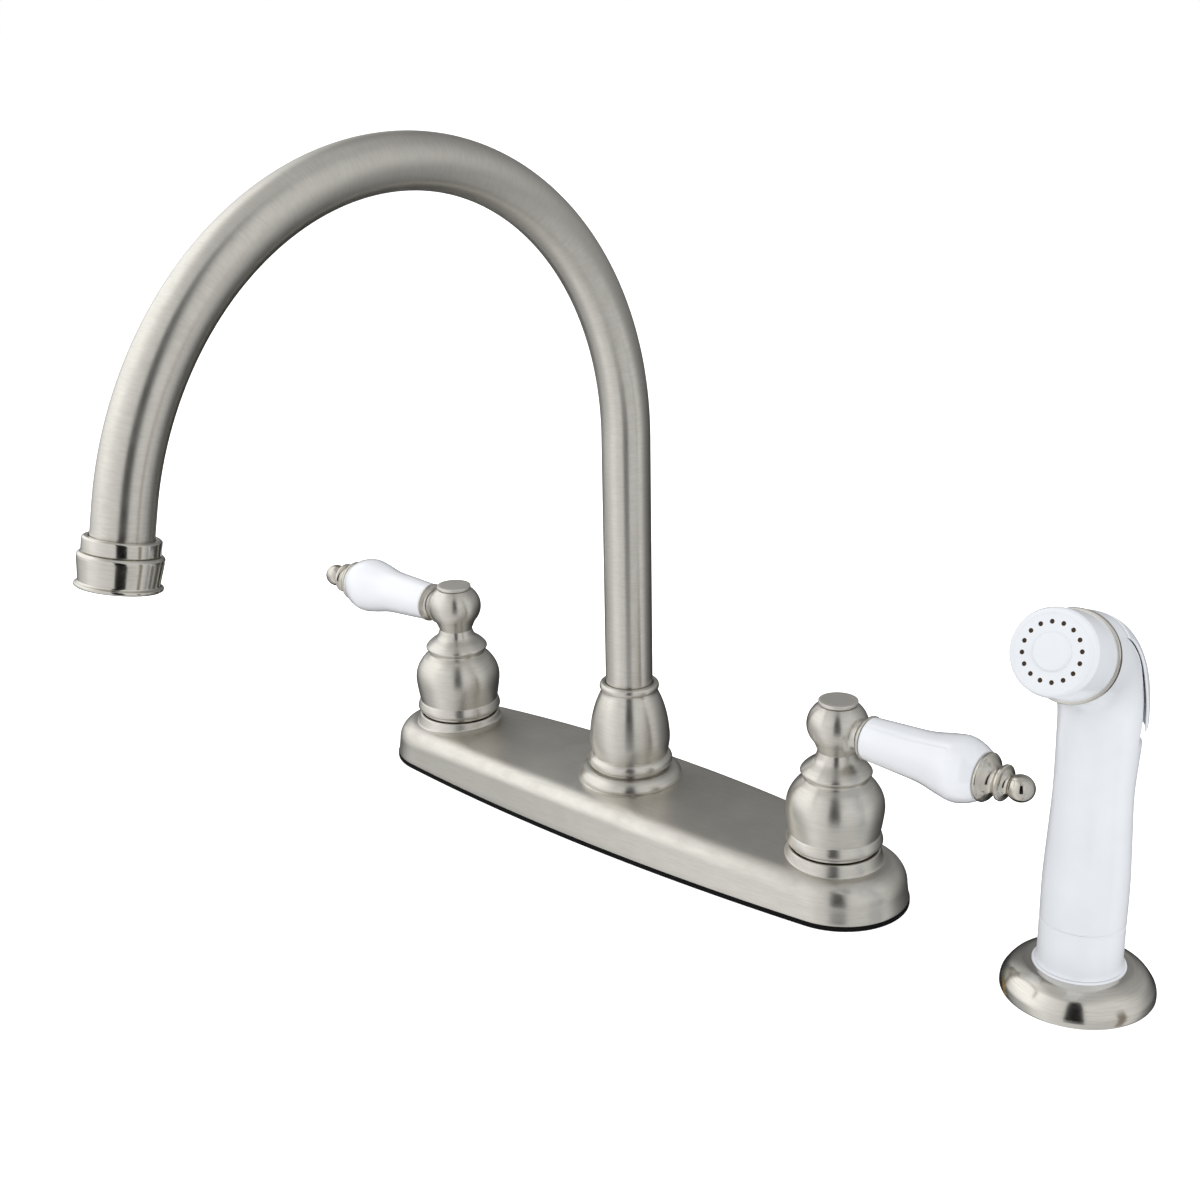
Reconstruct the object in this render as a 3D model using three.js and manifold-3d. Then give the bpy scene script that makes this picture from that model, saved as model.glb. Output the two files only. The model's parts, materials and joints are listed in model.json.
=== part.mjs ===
// Two-handle kitchen faucet on a bowed deck plate, with a swivelling gooseneck spout and a side spray.
// Millimetres, +Z up. The origin is on the top of the deck, on the swivel axis of the spout.
// The sink and the user are towards -Y, the hot handle is at -X and the side spray at +X.

import * as THREE from 'three';
import { mergeVertices } from 'three/addons/utils/BufferGeometryUtils.js';
import Module from 'manifold-3d';

const wasm = await Module();
wasm.setup();

// ---------------------------------------------------------------- driving dimensions

// Deck and clearances
const HOLE_PITCH = 101.6; // from one deck hole to the next: hot, spout, cold, spray
const DECK_THICKNESS = 6; // what the nuts below are run up for
const SLIP = 0.3; // between pieces that are fitted to each other
const RUNNING = 0.4; // between pieces that turn or slide on each other

// Deck plate and its gasket
const PLATE_HALF_WIDTH = 31.7;
const PLATE_END_RADIUS = 26.1;
const PLATE_END_OVERHANG = 3; // centre of the round end, past the handle axis
const PLATE_TOP = 20.2; // at the middle of the plate
const PLATE_CROWN_ALONG = 4.2; // fall of the top towards the ends
const PLATE_CROWN_ACROSS = 1.8; // fall of the top towards the long sides
const PLATE_RIM_RADIUS = 7.5; // seen from above
const PLATE_RIM_DROP = 5.5; // height of the rim's rounding at the middle
const PLATE_RIM_DROP_GAIN = 3; // by which it is higher at the ends
const PLATE_DRAFT = 0.8;
const PLATE_WALL = 2.2;
const GASKET_THICKNESS = 1.8;
const GASKET_PROUD = 0.3;
const GASKET_WIDTH = 4.5;
const PLINTH_TOP = 21.2;
const PLINTH_RADIUS = 17.5;
const PLINTH_FOOT_RADIUS = 19.4;
const PLINTH_FOOT = 15.4; // underside of the plinth, inside the plate
const PLINTH_SEAT_DEPTH = 1.8;
const SPOUT_PAD_TOP = 20.5;

// Valves under the handles
const SHANK_RADIUS = 10.4;
const SHANK_BORE_RADIUS = 6.4;
const SHANK_LENGTH = 52;
const BODY_FLANGE_RADIUS = 14.5;
const BODY_FLANGE_THICKNESS = 3.2;
const VALVE_RADIUS = 10.6;
const VALVE_TOP = 25;
const CHAMBER_RADIUS = 8.2;
const CHAMBER_FLOOR = 5;
const MIXING_TUBE_RADIUS = 4.2;
const MIXING_TUBE_WALL = 0.9;
const MIXING_TUBE_HEIGHT = 10.8;
const CARTRIDGE_COLLAR = 1.4;
const CARTRIDGE_SLEEVE_RADIUS = 7.1;
const CARTRIDGE_TOP = 33.5;
const BONNET_FLANGE_RADIUS = 16.2;
const BONNET_HEX_RADIUS = 14.6;
const BONNET_LIP = 2.2;
const STEM_RADIUS = 3.9;
const STEM_TOP = 57;
const STEM_TAP_DEPTH = 10.5;
const NUT_RADIUS = 16;
const NUT_HEIGHT = 6;
const WASHER_RADIUS = 18.5;
const WASHER_THICKNESS = 1.5;

// Handle hubs
const HUB_GAP = 1; // dark line between plinth and skirt
const SKIRT_RING_ARC = [-60, 70]; // degrees of a ring's section that stand free, from straight out
const HUB_RING_RADIUS = 18.2;
const HUB_RING_HEIGHT = 3.1;
const HUB_WAIST_RADIUS = 17;
const HUB_BODY_RADIUS = 18.5;
const HUB_BODY_HEIGHT = 16.7; // of the widest place, above the plinth
const HUB_SHOULDER_RADIUS = 12.2;
const HUB_SHOULDER_HEIGHT = 28;
const HUB_FLANGE_RADIUS = 13.4;
const HUB_FLANGE_HEIGHT = 31;
const HUB_NECK_RADIUS = 7.1;
const HUB_NECK_HEIGHT = 38.9;
const HUB_BALL_RADIUS = 11.5;
const HUB_BALL_HALF_HEIGHT = 10.2;
const HUB_BALL_HEIGHT = 49.4;
const HUB_BALL_FROM = -42; // degrees, where the neck runs into the ball
const HUB_TOP_RADIUS = 7.3;
const HUB_CAVITY_RADIUS = 15.6;
const HUB_CAVITY_HEIGHT = 12;
const HUB_SOCKET_FLOOR = 19;
const SCREW_HEAD_RADIUS = 4.2;
const SCREW_HEAD_HEIGHT = 2.5;
const SCREW_RADIUS = 2;
const SCREW_WEB = 5; // metal of the hub between stem and screw head
const CAP_RADIUS = 7.06;
const CAP_THICKNESS = 1.6;
const CAP_PLUG_LENGTH = 5;

// Levers, along their own axis, measured from the axis of the hub
const LEVER_DROP = 1.6; // axis of the lever, below the middle of the ball
const LEVER_YAW = 2; // degrees towards the user
const LEVER_BOSS_RADIUS = 6.2;
const LEVER_BOSS_END = 12;
const FERRULE_END = 14.6;
const FERRULE_RADIUS = 8.4;
const GRIP_END = 62.5;
const GRIP_ROOT_RADIUS = 8.1;
const GRIP_WAIST_RADIUS = 9.5;
const GRIP_RADIUS = 12.1;
const GRIP_TIP_RADIUS = 8.7;
const GRIP_BORE_RADIUS = 3;
const STUD_RADIUS = 2.3;
const FINIAL_DISC_RADIUS = 8.9;
const FINIAL_RING_RADIUS = 6.6;
const FINIAL_NECK_RADIUS = 3.9;
const FINIAL_BALL_RADIUS = 4.8;
const FINIAL_BALL_FROM = -30; // degrees, where its neck runs into the ball
const FINIAL_LENGTH = 19.2;

// Spout and its base
const CENTRE_BODY_RADIUS = 13;
const CENTRE_BODY_TOP = 47;
const SOCKET_RADIUS = 10.4;
const SOCKET_FLOOR = 18;
const DIVERTER_RADIUS = 5.6;
const DIVERTER_TRAVEL = 3;
const OUTLET_BOSS_RADIUS = 8.6;
const OUTLET_BOSS_DEPTH = 14;
const HOSE_BORE_RADIUS = 3;
const NIPPLE_THREAD_RADIUS = 5.1;
const NIPPLE_HEX_RADIUS = 8.4;
const NIPPLE_LENGTH = 18;
const URN_FOOT_RADIUS = 21.4;
const URN_RING_RADIUS = 17.3;
const URN_RING_HEIGHT = 5.1; // above the pad
const URN_RING_ARC = [-55, 75];
const URN_BODY_RADIUS = 16.4;
const URN_BODY_HEIGHT = 17.7;
const URN_NECK_RADIUS = 11.5;
const URN_BEAD_RADIUS = 12.1;
const URN_BEAD_HEIGHT = 39.1;
const URN_BEAD_HALF = 1.7;
const URN_BEAD_ARC = [-60, 90];
const TUBE_RADIUS = 9.5;
const TUBE_WALL = 1;
const TUBE_FOOT = 50;
const RISER_TOP = 163;
const BEND_RADIUS = 112.7;
const BEND_DEGREES = 168;
const OUTLET_LEG = 13.7;
const SPIGOT_COLLAR = 2.2;
const SPIGOT_COLLAR_RADIUS = 11.9;
const O_RING_RADIUS = 0.95;
const BUSHING_THICKNESS = 1.7;

// Outlet, downwards from the end of the spout tube
const COLLAR_LENGTH = 4.8;
const COLLAR_RADIUS = 11.7;
const HOUSING_LENGTH = 10.2;
const HOUSING_RADIUS = 12.9;
const HOUSING_FOOT_RADIUS = 12;
const HOUSING_RIM_RADIUS = 13.1;
const HOUSING_RIM = 1.3;
const OUTLET_THREAD_RADIUS = 10.5;
const OUTLET_THREAD_LENGTH = 4.2;
const AERATOR_WASHER = 1.1;
const AERATOR_RADIUS = 9.9;
const AERATOR_HEIGHT = 3.6;

// Side spray holder
const ESCUTCHEON_RADIUS = 26.2;
const ESCUTCHEON_HEIGHT = 10.7;
const ESCUTCHEON_WALL = 1.6;
const GUIDE_FLANGE_RADIUS = 15.5;
const GUIDE_FLANGE = 1.2;
const GUIDE_SHANK_RADIUS = 12.6;
const GUIDE_BORE_RADIUS = 11;
const GUIDE_LENGTH = 34;
const GUIDE_NUT_RADIUS = 20;
const GUIDE_NUT_HEIGHT = 7;

// Side spray, in its own frame: up from the deck, nozzle towards -Y
const SPRAY_YAW = 7.2; // degrees, nozzle turned towards +X
const SLEEVE_RADIUS = 14.4;
const SLEEVE_TOP = 27;
const SEAM = 1.3;
const COUPLING_RADIUS = 10.4;
const COUPLING_DEPTH = 8; // into the guide, below the deck
const COUPLING_NECK_RADIUS = 7.4;
const COUPLING_TOP = 40;
const HOSE_BARB_RADIUS = 5.2;
const HOSE_BARB_LENGTH = 20;
const GRIP_MIDDLE_RADIUS = 13.1;
const GRIP_MIDDLE_HEIGHT = 74;
const GRIP_SWELL_DEPTH = 15.6;
const GRIP_SWELL_OFFSET = 1.8;
const HEAD_START = 100;
const HEAD_BEND_RADIUS = 30;
const HEAD_TILT = 68; // degrees from upright to the nozzle axis
const HEAD_RADIUS = 14.2;
const HEAD_NECK_LENGTH = 11;
const WATERWAY_RADIUS = 6;
const TRIM_RING_RADIUS = 15;
const TRIM_RING_THICKNESS = 1.7;
const NOZZLE_LENGTH = 19.4;
const NOZZLE_ROOT_RADIUS = 14.7;
const NOZZLE_RADIUS = 14;
const NOZZLE_WALL = 2.4;
const NOZZLE_EDGE = 2;
const SPIGOT_LENGTH = 7;
const FACE_THICKNESS = 2;
const FACE_RECESS = 0.7;
const JET_COUNT = 16;
const JET_CIRCLE_RADIUS = 9.5;
const JET_RADIUS = 0.65;
const FACE_PLUG_RADIUS = 6;
const TRIGGER_PROUD = 1.2;
const TRIGGER_THICKNESS = 2.4;
const TRIGGER_HALF_WIDTH = 9.4;
const TRIGGER_FOOT = 97;
const TRIGGER_CLEARANCE = 0.7;
const TRIGGER_SWING = 4.5; // degrees that the pocket under the trigger leaves free
const TRIGGER_EYE_HALF_WIDTH = 4.8;
const TRIGGER_EYE_RADIUS = 2.3;
const TRIGGER_PIN_RADIUS = 1.2;
const TRIGGER_PIN_TILT = 65; // place of the pin round the bend of the head
const TRIGGER_PIN_OFFSET = 10.5; // from the centre line, towards the back
const PLUNGER_RADIUS = 1.6;
const PLUNGER_HEIGHT = 104;

// ---------------------------------------------------------------- derived places

const HUB_FOOT = PLINTH_TOP + HUB_GAP;
const LEVER_HEIGHT = PLINTH_TOP + HUB_BALL_HEIGHT - LEVER_DROP;
const PLATE_END_X = HOLE_PITCH + PLATE_END_OVERHANG;
const PLATE_FOOT = GASKET_THICKNESS;
const BODY_FOOT = GASKET_THICKNESS + SLIP;
const WASHER_TOP = -DECK_THICKNESS;
const NUT_TOP = WASHER_TOP - WASHER_THICKNESS;
const SPRAY_X = 2 * HOLE_PITCH;
const rad = THREE.MathUtils.degToRad;

// ---------------------------------------------------------------- materials

const finish = (color, roughness, metalness) =>
  new THREE.MeshStandardMaterial({ color, roughness, metalness });
const brushedNickel = () => finish(0xa9a49c, 0.34, 1);
const polishedNickel = () => finish(0xb3aea6, 0.12, 1);
const porcelain = () => finish(0xeff1f6, 0.12, 0);
const whitePlastic = () => finish(0xeef0f5, 0.25, 0);
const brass = () => finish(0xb8924a, 0.35, 1);
const copper = () => finish(0xb56a45, 0.35, 1);
const steel = () => finish(0x9b9d9f, 0.3, 1);
const rubber = () => finish(0x141414, 0.8, 0);
const acetal = () => finish(0xd9d6cc, 0.5, 0);

// ---------------------------------------------------------------- shape helpers

// A closed mesh whose faces point outwards, from positions and triangles.
function closedGeometry(positions, indices) {
  const geometry = new THREE.BufferGeometry();
  geometry.setAttribute('position', new THREE.Float32BufferAttribute(positions, 3));
  geometry.setIndex(indices);
  return geometry;
}

function signedVolume(geometry) {
  const p = geometry.getAttribute('position');
  const index = geometry.getIndex();
  const [a, b, c] = [new THREE.Vector3(), new THREE.Vector3(), new THREE.Vector3()];
  let volume = 0;
  for (let i = 0; i < index.count; i += 3) {
    a.fromBufferAttribute(p, index.getX(i));
    b.fromBufferAttribute(p, index.getX(i + 1));
    c.fromBufferAttribute(p, index.getX(i + 2));
    volume += a.dot(b.cross(c)) / 6;
  }
  return volume;
}

// Shared vertices are merged, and a mesh that is inside out is turned.
function tidied(geometry) {
  geometry.deleteAttribute('normal');
  geometry.deleteAttribute('uv');
  const merged = mergeVertices(geometry, 1e-4);
  const kept = [];
  const index = merged.getIndex();
  for (let i = 0; i < index.count; i += 3) {
    const [a, b, c] = [index.getX(i), index.getX(i + 1), index.getX(i + 2)];
    if (a !== b && b !== c && c !== a) kept.push(a, b, c);
  }
  merged.setIndex(kept);
  if (signedVolume(merged) < 0) {
    merged.setIndex(kept.map((_, i) => kept[i - (i % 3) + 2 - (i % 3)]));
  }
  return merged;
}

// A body turned about Z. The profile is a list of [radius, height] points and of arrays made by
// sweep or arc; it starts and ends on the axis, or else it closes on itself round a bore.
function turned(profile, sides = 16) {
  const points = profile.map(([r, z]) => new THREE.Vector2(Math.max(r, 0), z));
  if (points[0].x > 0 || points.at(-1).x > 0) points.push(points[0].clone());
  const geometry = new THREE.LatheGeometry(points, sides);
  geometry.rotateX(Math.PI / 2);
  return tidied(geometry);
}

// Points of a smooth curve through [radius, height] points.
function sweep(points, steps) {
  const curve = new THREE.SplineCurve(points.map(([r, z]) => new THREE.Vector2(r, z)));
  return curve.getPoints(steps).map((p) => [p.x, p.y]);
}

// Points of an arc in the profile plane; angles in degrees from the +radius direction.
function arc(centre, rx, rz, [from, to], steps) {
  const points = [];
  for (let i = 0; i <= steps; i += 1) {
    const angle = rad(from + ((to - from) * i) / steps);
    points.push([centre[0] + rx * Math.cos(angle), centre[1] + rz * Math.sin(angle)]);
  }
  return points;
}

// A plain ring or tube standing on Z.
function ring(inner, outer, low, high, sides = 16) {
  return turned([[inner, low], [outer, low], [outer, high], [inner, high]], sides);
}

// A plain round rod standing on Z.
function rod(radius, low, high, sides = 10) {
  return turned([[0, low], [radius, low], [radius, high], [0, high]], sides);
}

// A hexagon bar with a bore.
function hexNut(bore, radius, low, high) {
  const bar = new THREE.CylinderGeometry(radius, radius, high - low, 6);
  bar.rotateX(Math.PI / 2).translate(0, 0, (low + high) / 2);
  return cut(tidied(bar), rod(bore, low - 1, high + 1, 16));
}

// A skin through rings of equal point counts, closed at both ends by fans.
function lofted(rings) {
  const count = rings[0].length;
  const positions = rings.flat().flatMap((p) => [p.x, p.y, p.z]);
  const indices = [];
  for (let k = 0; k + 1 < rings.length; k += 1) {
    for (let i = 0; i < count; i += 1) {
      const [a, b] = [k * count + i, k * count + ((i + 1) % count)];
      indices.push(a, b, b + count, a, b + count, a + count);
    }
  }
  for (const [k, flip] of [[0, true], [rings.length - 1, false]]) {
    const centre = rings[k].reduce((sum, p) => sum.add(p), new THREE.Vector3()).divideScalar(count);
    const hub = positions.length / 3;
    positions.push(centre.x, centre.y, centre.z);
    for (let i = 0; i < count; i += 1) {
      const [a, b] = [k * count + i, k * count + ((i + 1) % count)];
      indices.push(hub, flip ? b : a, flip ? a : b);
    }
  }
  return tidied(closedGeometry(positions, indices));
}

// ---------------------------------------------------------------- cutting and joining

function solidOf(geometry) {
  const index = geometry.getIndex();
  return new wasm.Manifold(new wasm.Mesh({
    numProp: 3,
    vertProperties: new Float32Array(geometry.getAttribute('position').array),
    triVerts: new Uint32Array(index.array),
  }));
}

function geometryOf(solid) {
  const { vertProperties, triVerts } = solid.getMesh();
  return tidied(closedGeometry(Array.from(vertProperties), Array.from(triVerts)));
}

function cut(geometry, ...tools) {
  return geometryOf(tools.reduce((body, tool) => body.subtract(solidOf(tool)), solidOf(geometry)));
}

function joined(geometry, ...others) {
  return geometryOf(others.reduce((body, other) => body.add(solidOf(other)), solidOf(geometry)));
}

function shared(geometry, other) {
  return geometryOf(solidOf(geometry).intersect(solidOf(other)));
}

// A rod along +X, from one x to another, at a height.
function crossRod(radius, fromX, toX, height, sides = 10) {
  const geometry = rod(radius, fromX, toX, sides);
  geometry.rotateY(Math.PI / 2).translate(0, 0, height);
  return geometry;
}

// ---------------------------------------------------------------- assembly helper

function add(parent, name, geometry, material) {
  const mesh = new THREE.Mesh(geometry, material);
  mesh.name = name;
  parent.add(mesh);
  return mesh;
}

// ---------------------------------------------------------------- deck plate and gasket

// The plate's outline seen from above, drawn in by an inset: round ends joined by bowed sides
// that run into them without a corner.
function bowedOutline(inset, endSteps = 8, sideSteps = 8) {
  const rise = PLATE_HALF_WIDTH ** 2 - PLATE_END_RADIUS ** 2;
  const bow = (PLATE_END_X ** 2 + rise) / (2 * (PLATE_HALF_WIDTH - PLATE_END_RADIUS));
  const centreY = PLATE_HALF_WIDTH - bow;
  const joint = Math.atan2(-centreY, PLATE_END_X);
  const points = [];
  const walk = (cx, cy, radius, from, to, steps) => {
    for (let i = 0; i < steps; i += 1) {
      const angle = from + ((to - from) * i) / steps;
      points.push([cx + radius * Math.cos(angle), cy + radius * Math.sin(angle)]);
    }
  };
  walk(PLATE_END_X, 0, PLATE_END_RADIUS - inset, -joint, joint, endSteps);
  walk(0, centreY, bow - inset, joint, Math.PI - joint, sideSteps);
  walk(-PLATE_END_X, 0, PLATE_END_RADIUS - inset, Math.PI - joint, Math.PI + joint, endSteps);
  walk(0, -centreY, bow - inset, Math.PI + joint, 2 * Math.PI - joint, sideSteps);
  return points;
}

const outlineRing = (inset, heightAt) =>
  bowedOutline(inset).map(([x, y]) => new THREE.Vector3(x, y, heightAt(x, y)));

function plateTopAt(x, y) {
  const along = x / (PLATE_END_X + PLATE_END_RADIUS);
  const across = y / PLATE_HALF_WIDTH;
  return PLATE_TOP - PLATE_CROWN_ALONG * along ** 2 - PLATE_CROWN_ACROSS * across ** 2;
}

const rimDropAt = (x) =>
  PLATE_RIM_DROP + PLATE_RIM_DROP_GAIN * (x / (PLATE_END_X + PLATE_END_RADIUS)) ** 2;

function plateShell() {
  const rings = [outlineRing(0, () => PLATE_FOOT)];
  for (const angle of [0, 25, 50, 90]) {
    const inset = PLATE_DRAFT + PLATE_RIM_RADIUS * (1 - Math.cos(rad(angle)));
    const share = 1 - Math.sin(rad(angle));
    rings.push(outlineRing(inset, (x, y) => plateTopAt(x, y) - rimDropAt(x) * share));
  }
  const flat = PLATE_DRAFT + PLATE_RIM_RADIUS;
  const middle = PLATE_END_RADIUS - 2;
  rings.push(outlineRing(flat + 6, plateTopAt), outlineRing(middle, plateTopAt));
  const hollow = [
    outlineRing(PLATE_WALL, () => PLATE_FOOT - 1),
    outlineRing(PLATE_WALL + PLATE_DRAFT, (x, y) => plateTopAt(x, y) - rimDropAt(x)),
    outlineRing(PLATE_WALL + PLATE_RIM_RADIUS, (x, y) => plateTopAt(x, y) - PLATE_WALL),
    outlineRing(middle, (x, y) => plateTopAt(x, y) - PLATE_WALL),
  ];
  return [lofted(rings), lofted(hollow)];
}

function plinth() {
  return turned([
    [0, PLINTH_FOOT], [PLINTH_FOOT_RADIUS + 0.6, PLINTH_FOOT],
    ...sweep([
      [PLINTH_FOOT_RADIUS, PLINTH_FOOT + 1.6],
      [PLINTH_RADIUS + 0.6, PLINTH_TOP - 2],
      [PLINTH_RADIUS, PLINTH_TOP - 0.4],
    ], 3),
    [PLINTH_RADIUS - 0.4, PLINTH_TOP], [0, PLINTH_TOP],
  ], 20);
}

const movedX = (geometry, x) => geometry.clone().translate(x, 0, 0);

function deckPlate() {
  const [outside, inside] = plateShell();
  const pad = rod(URN_FOOT_RADIUS - 1, PLATE_TOP - PLATE_WALL / 2 - 1, SPOUT_PAD_TOP, 20);
  const seatRadius = BONNET_FLANGE_RADIUS + SLIP;
  const valveHole = turned([
    [0, 0], [VALVE_RADIUS + 2, 0], [VALVE_RADIUS + 2, PLINTH_TOP - PLINTH_SEAT_DEPTH],
    [seatRadius, PLINTH_TOP - PLINTH_SEAT_DEPTH], [seatRadius, PLINTH_TOP + 2], [0, PLINTH_TOP + 2],
  ]);
  const spoutHole = rod(CENTRE_BODY_RADIUS + SLIP, 0, SPOUT_PAD_TOP + 2, 16);
  const shell = cut(outside, inside);
  const bosses = [movedX(plinth(), -HOLE_PITCH), movedX(plinth(), HOLE_PITCH), pad];
  const holes = [movedX(valveHole, -HOLE_PITCH), movedX(valveHole, HOLE_PITCH), spoutHole];
  return cut(joined(shell, ...bosses), ...holes);
}

function baseGasket() {
  const ringAt = (inset, z) => outlineRing(inset, () => z);
  const outside = lofted([ringAt(-GASKET_PROUD, 0), ringAt(-GASKET_PROUD, GASKET_THICKNESS)]);
  const inset = GASKET_WIDTH;
  return cut(outside, lofted([ringAt(inset, -1), ringAt(inset, GASKET_THICKNESS + 1)]));
}

// ---------------------------------------------------------------- valves

// Threaded shank, brazed to the underside of the valve body.
const shank = () => turned([
  [SHANK_BORE_RADIUS, -SHANK_LENGTH], [SHANK_RADIUS - 0.8, -SHANK_LENGTH],
  [SHANK_RADIUS, -SHANK_LENGTH + 1], [SHANK_RADIUS, BODY_FOOT - 0.05], [SHANK_BORE_RADIUS, BODY_FOOT - 0.05],
]);

// Brass valve body on its shank; the port towards the spout is on the side given.
function valveBody(side) {
  const flangeTop = BODY_FOOT + BODY_FLANGE_THICKNESS;
  const body = turned([
    [SHANK_BORE_RADIUS, BODY_FOOT], [BODY_FLANGE_RADIUS, BODY_FOOT], [BODY_FLANGE_RADIUS, flangeTop],
    [VALVE_RADIUS, flangeTop], [VALVE_RADIUS, VALVE_TOP],
    [CHAMBER_RADIUS, VALVE_TOP], [CHAMBER_RADIUS, CHAMBER_FLOOR], [SHANK_BORE_RADIUS, CHAMBER_FLOOR],
  ]);
  const bore = MIXING_TUBE_RADIUS + SLIP;
  const port = crossRod(bore, CHAMBER_RADIUS - 2, BODY_FLANGE_RADIUS + 1, MIXING_TUBE_HEIGHT);
  if (side < 0) port.rotateZ(Math.PI);
  return cut(body, port);
}

// Valve cartridge: a sleeve in the chamber, a collar on the body and a neck round the stem.
function cartridge(side) {
  const inside = STEM_RADIUS + RUNNING;
  const outside = CHAMBER_RADIUS - SLIP;
  const collarLow = VALVE_TOP + 0.1;
  const body = turned([
    [inside, CHAMBER_FLOOR + 1.5], [outside, CHAMBER_FLOOR + 1.5], [outside, collarLow],
    [VALVE_RADIUS - 0.2, collarLow], [VALVE_RADIUS - 0.2, collarLow + CARTRIDGE_COLLAR],
    [CARTRIDGE_SLEEVE_RADIUS, collarLow + CARTRIDGE_COLLAR], [CARTRIDGE_SLEEVE_RADIUS, CARTRIDGE_TOP],
    [inside, CARTRIDGE_TOP],
  ]);
  const port = crossRod(MIXING_TUBE_RADIUS - 1.2, 0, CHAMBER_RADIUS + 1, MIXING_TUBE_HEIGHT, 12);
  if (side < 0) port.rotateZ(Math.PI);
  return cut(body, port);
}

// Cap nut that clamps the cartridge, and with its flange the plate, to the valve body.
function bonnetNut() {
  const foot = PLINTH_TOP - PLINTH_SEAT_DEPTH + 0.1;
  const lipLow = VALVE_TOP + CARTRIDGE_COLLAR + SLIP;
  const top = lipLow + BONNET_LIP;
  const flange = rod(BONNET_FLANGE_RADIUS, foot, foot + 1.5, 16);
  const bar = new THREE.CylinderGeometry(BONNET_HEX_RADIUS, BONNET_HEX_RADIUS, top - foot, 6);
  bar.rotateX(Math.PI / 2).translate(0, 0, (top + foot) / 2);
  const bore = turned([
    [0, foot - 1], [VALVE_RADIUS + SLIP, foot - 1], [VALVE_RADIUS + SLIP, lipLow],
    [CARTRIDGE_SLEEVE_RADIUS + SLIP, lipLow], [CARTRIDGE_SLEEVE_RADIUS + SLIP, top + 1], [0, top + 1],
  ]);
  return cut(joined(flange, tidied(bar)), bore);
}

// Stem that the handle turns: a paddle end in the cartridge, a shaft and a tapped top.
function valveStem() {
  const tap = SCREW_RADIUS + SLIP / 2;
  return turned([
    [0, CHAMBER_FLOOR + 2], [STEM_RADIUS - 1, CHAMBER_FLOOR + 2], [STEM_RADIUS, CHAMBER_FLOOR + 3],
    [STEM_RADIUS, STEM_TOP - 0.5], [STEM_RADIUS - 0.5, STEM_TOP], [tap, STEM_TOP],
    [tap, STEM_TOP - STEM_TAP_DEPTH], [0, STEM_TOP - STEM_TAP_DEPTH - 1],
  ], 12);
}

const mountWasher = () =>
  ring(SHANK_RADIUS + SLIP, WASHER_RADIUS, NUT_TOP, WASHER_TOP);
const mountNut = () =>
  hexNut(SHANK_RADIUS + SLIP, NUT_RADIUS, NUT_TOP - NUT_HEIGHT, NUT_TOP);

// Copper tube from a valve body to the centre body, along +X from the hot side or -X from the cold.
function mixingTube(side) {
  const from = CHAMBER_RADIUS + 0.6;
  const to = HOLE_PITCH - CENTRE_BODY_RADIUS + 2.5;
  const tube = ring(MIXING_TUBE_RADIUS - MIXING_TUBE_WALL, MIXING_TUBE_RADIUS, from, to, 12);
  tube.rotateY(Math.PI / 2).translate(0, 0, MIXING_TUBE_HEIGHT);
  if (side < 0) tube.rotateZ(Math.PI);
  return tube;
}

// ---------------------------------------------------------------- handles

const HUB_CROWN = PLINTH_TOP + HUB_BALL_HEIGHT
  + HUB_BALL_HALF_HEIGHT * Math.sqrt(1 - (HUB_TOP_RADIUS / HUB_BALL_RADIUS) ** 2);
const SCREW_SEAT = STEM_TOP + SLIP + SCREW_WEB;

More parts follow.
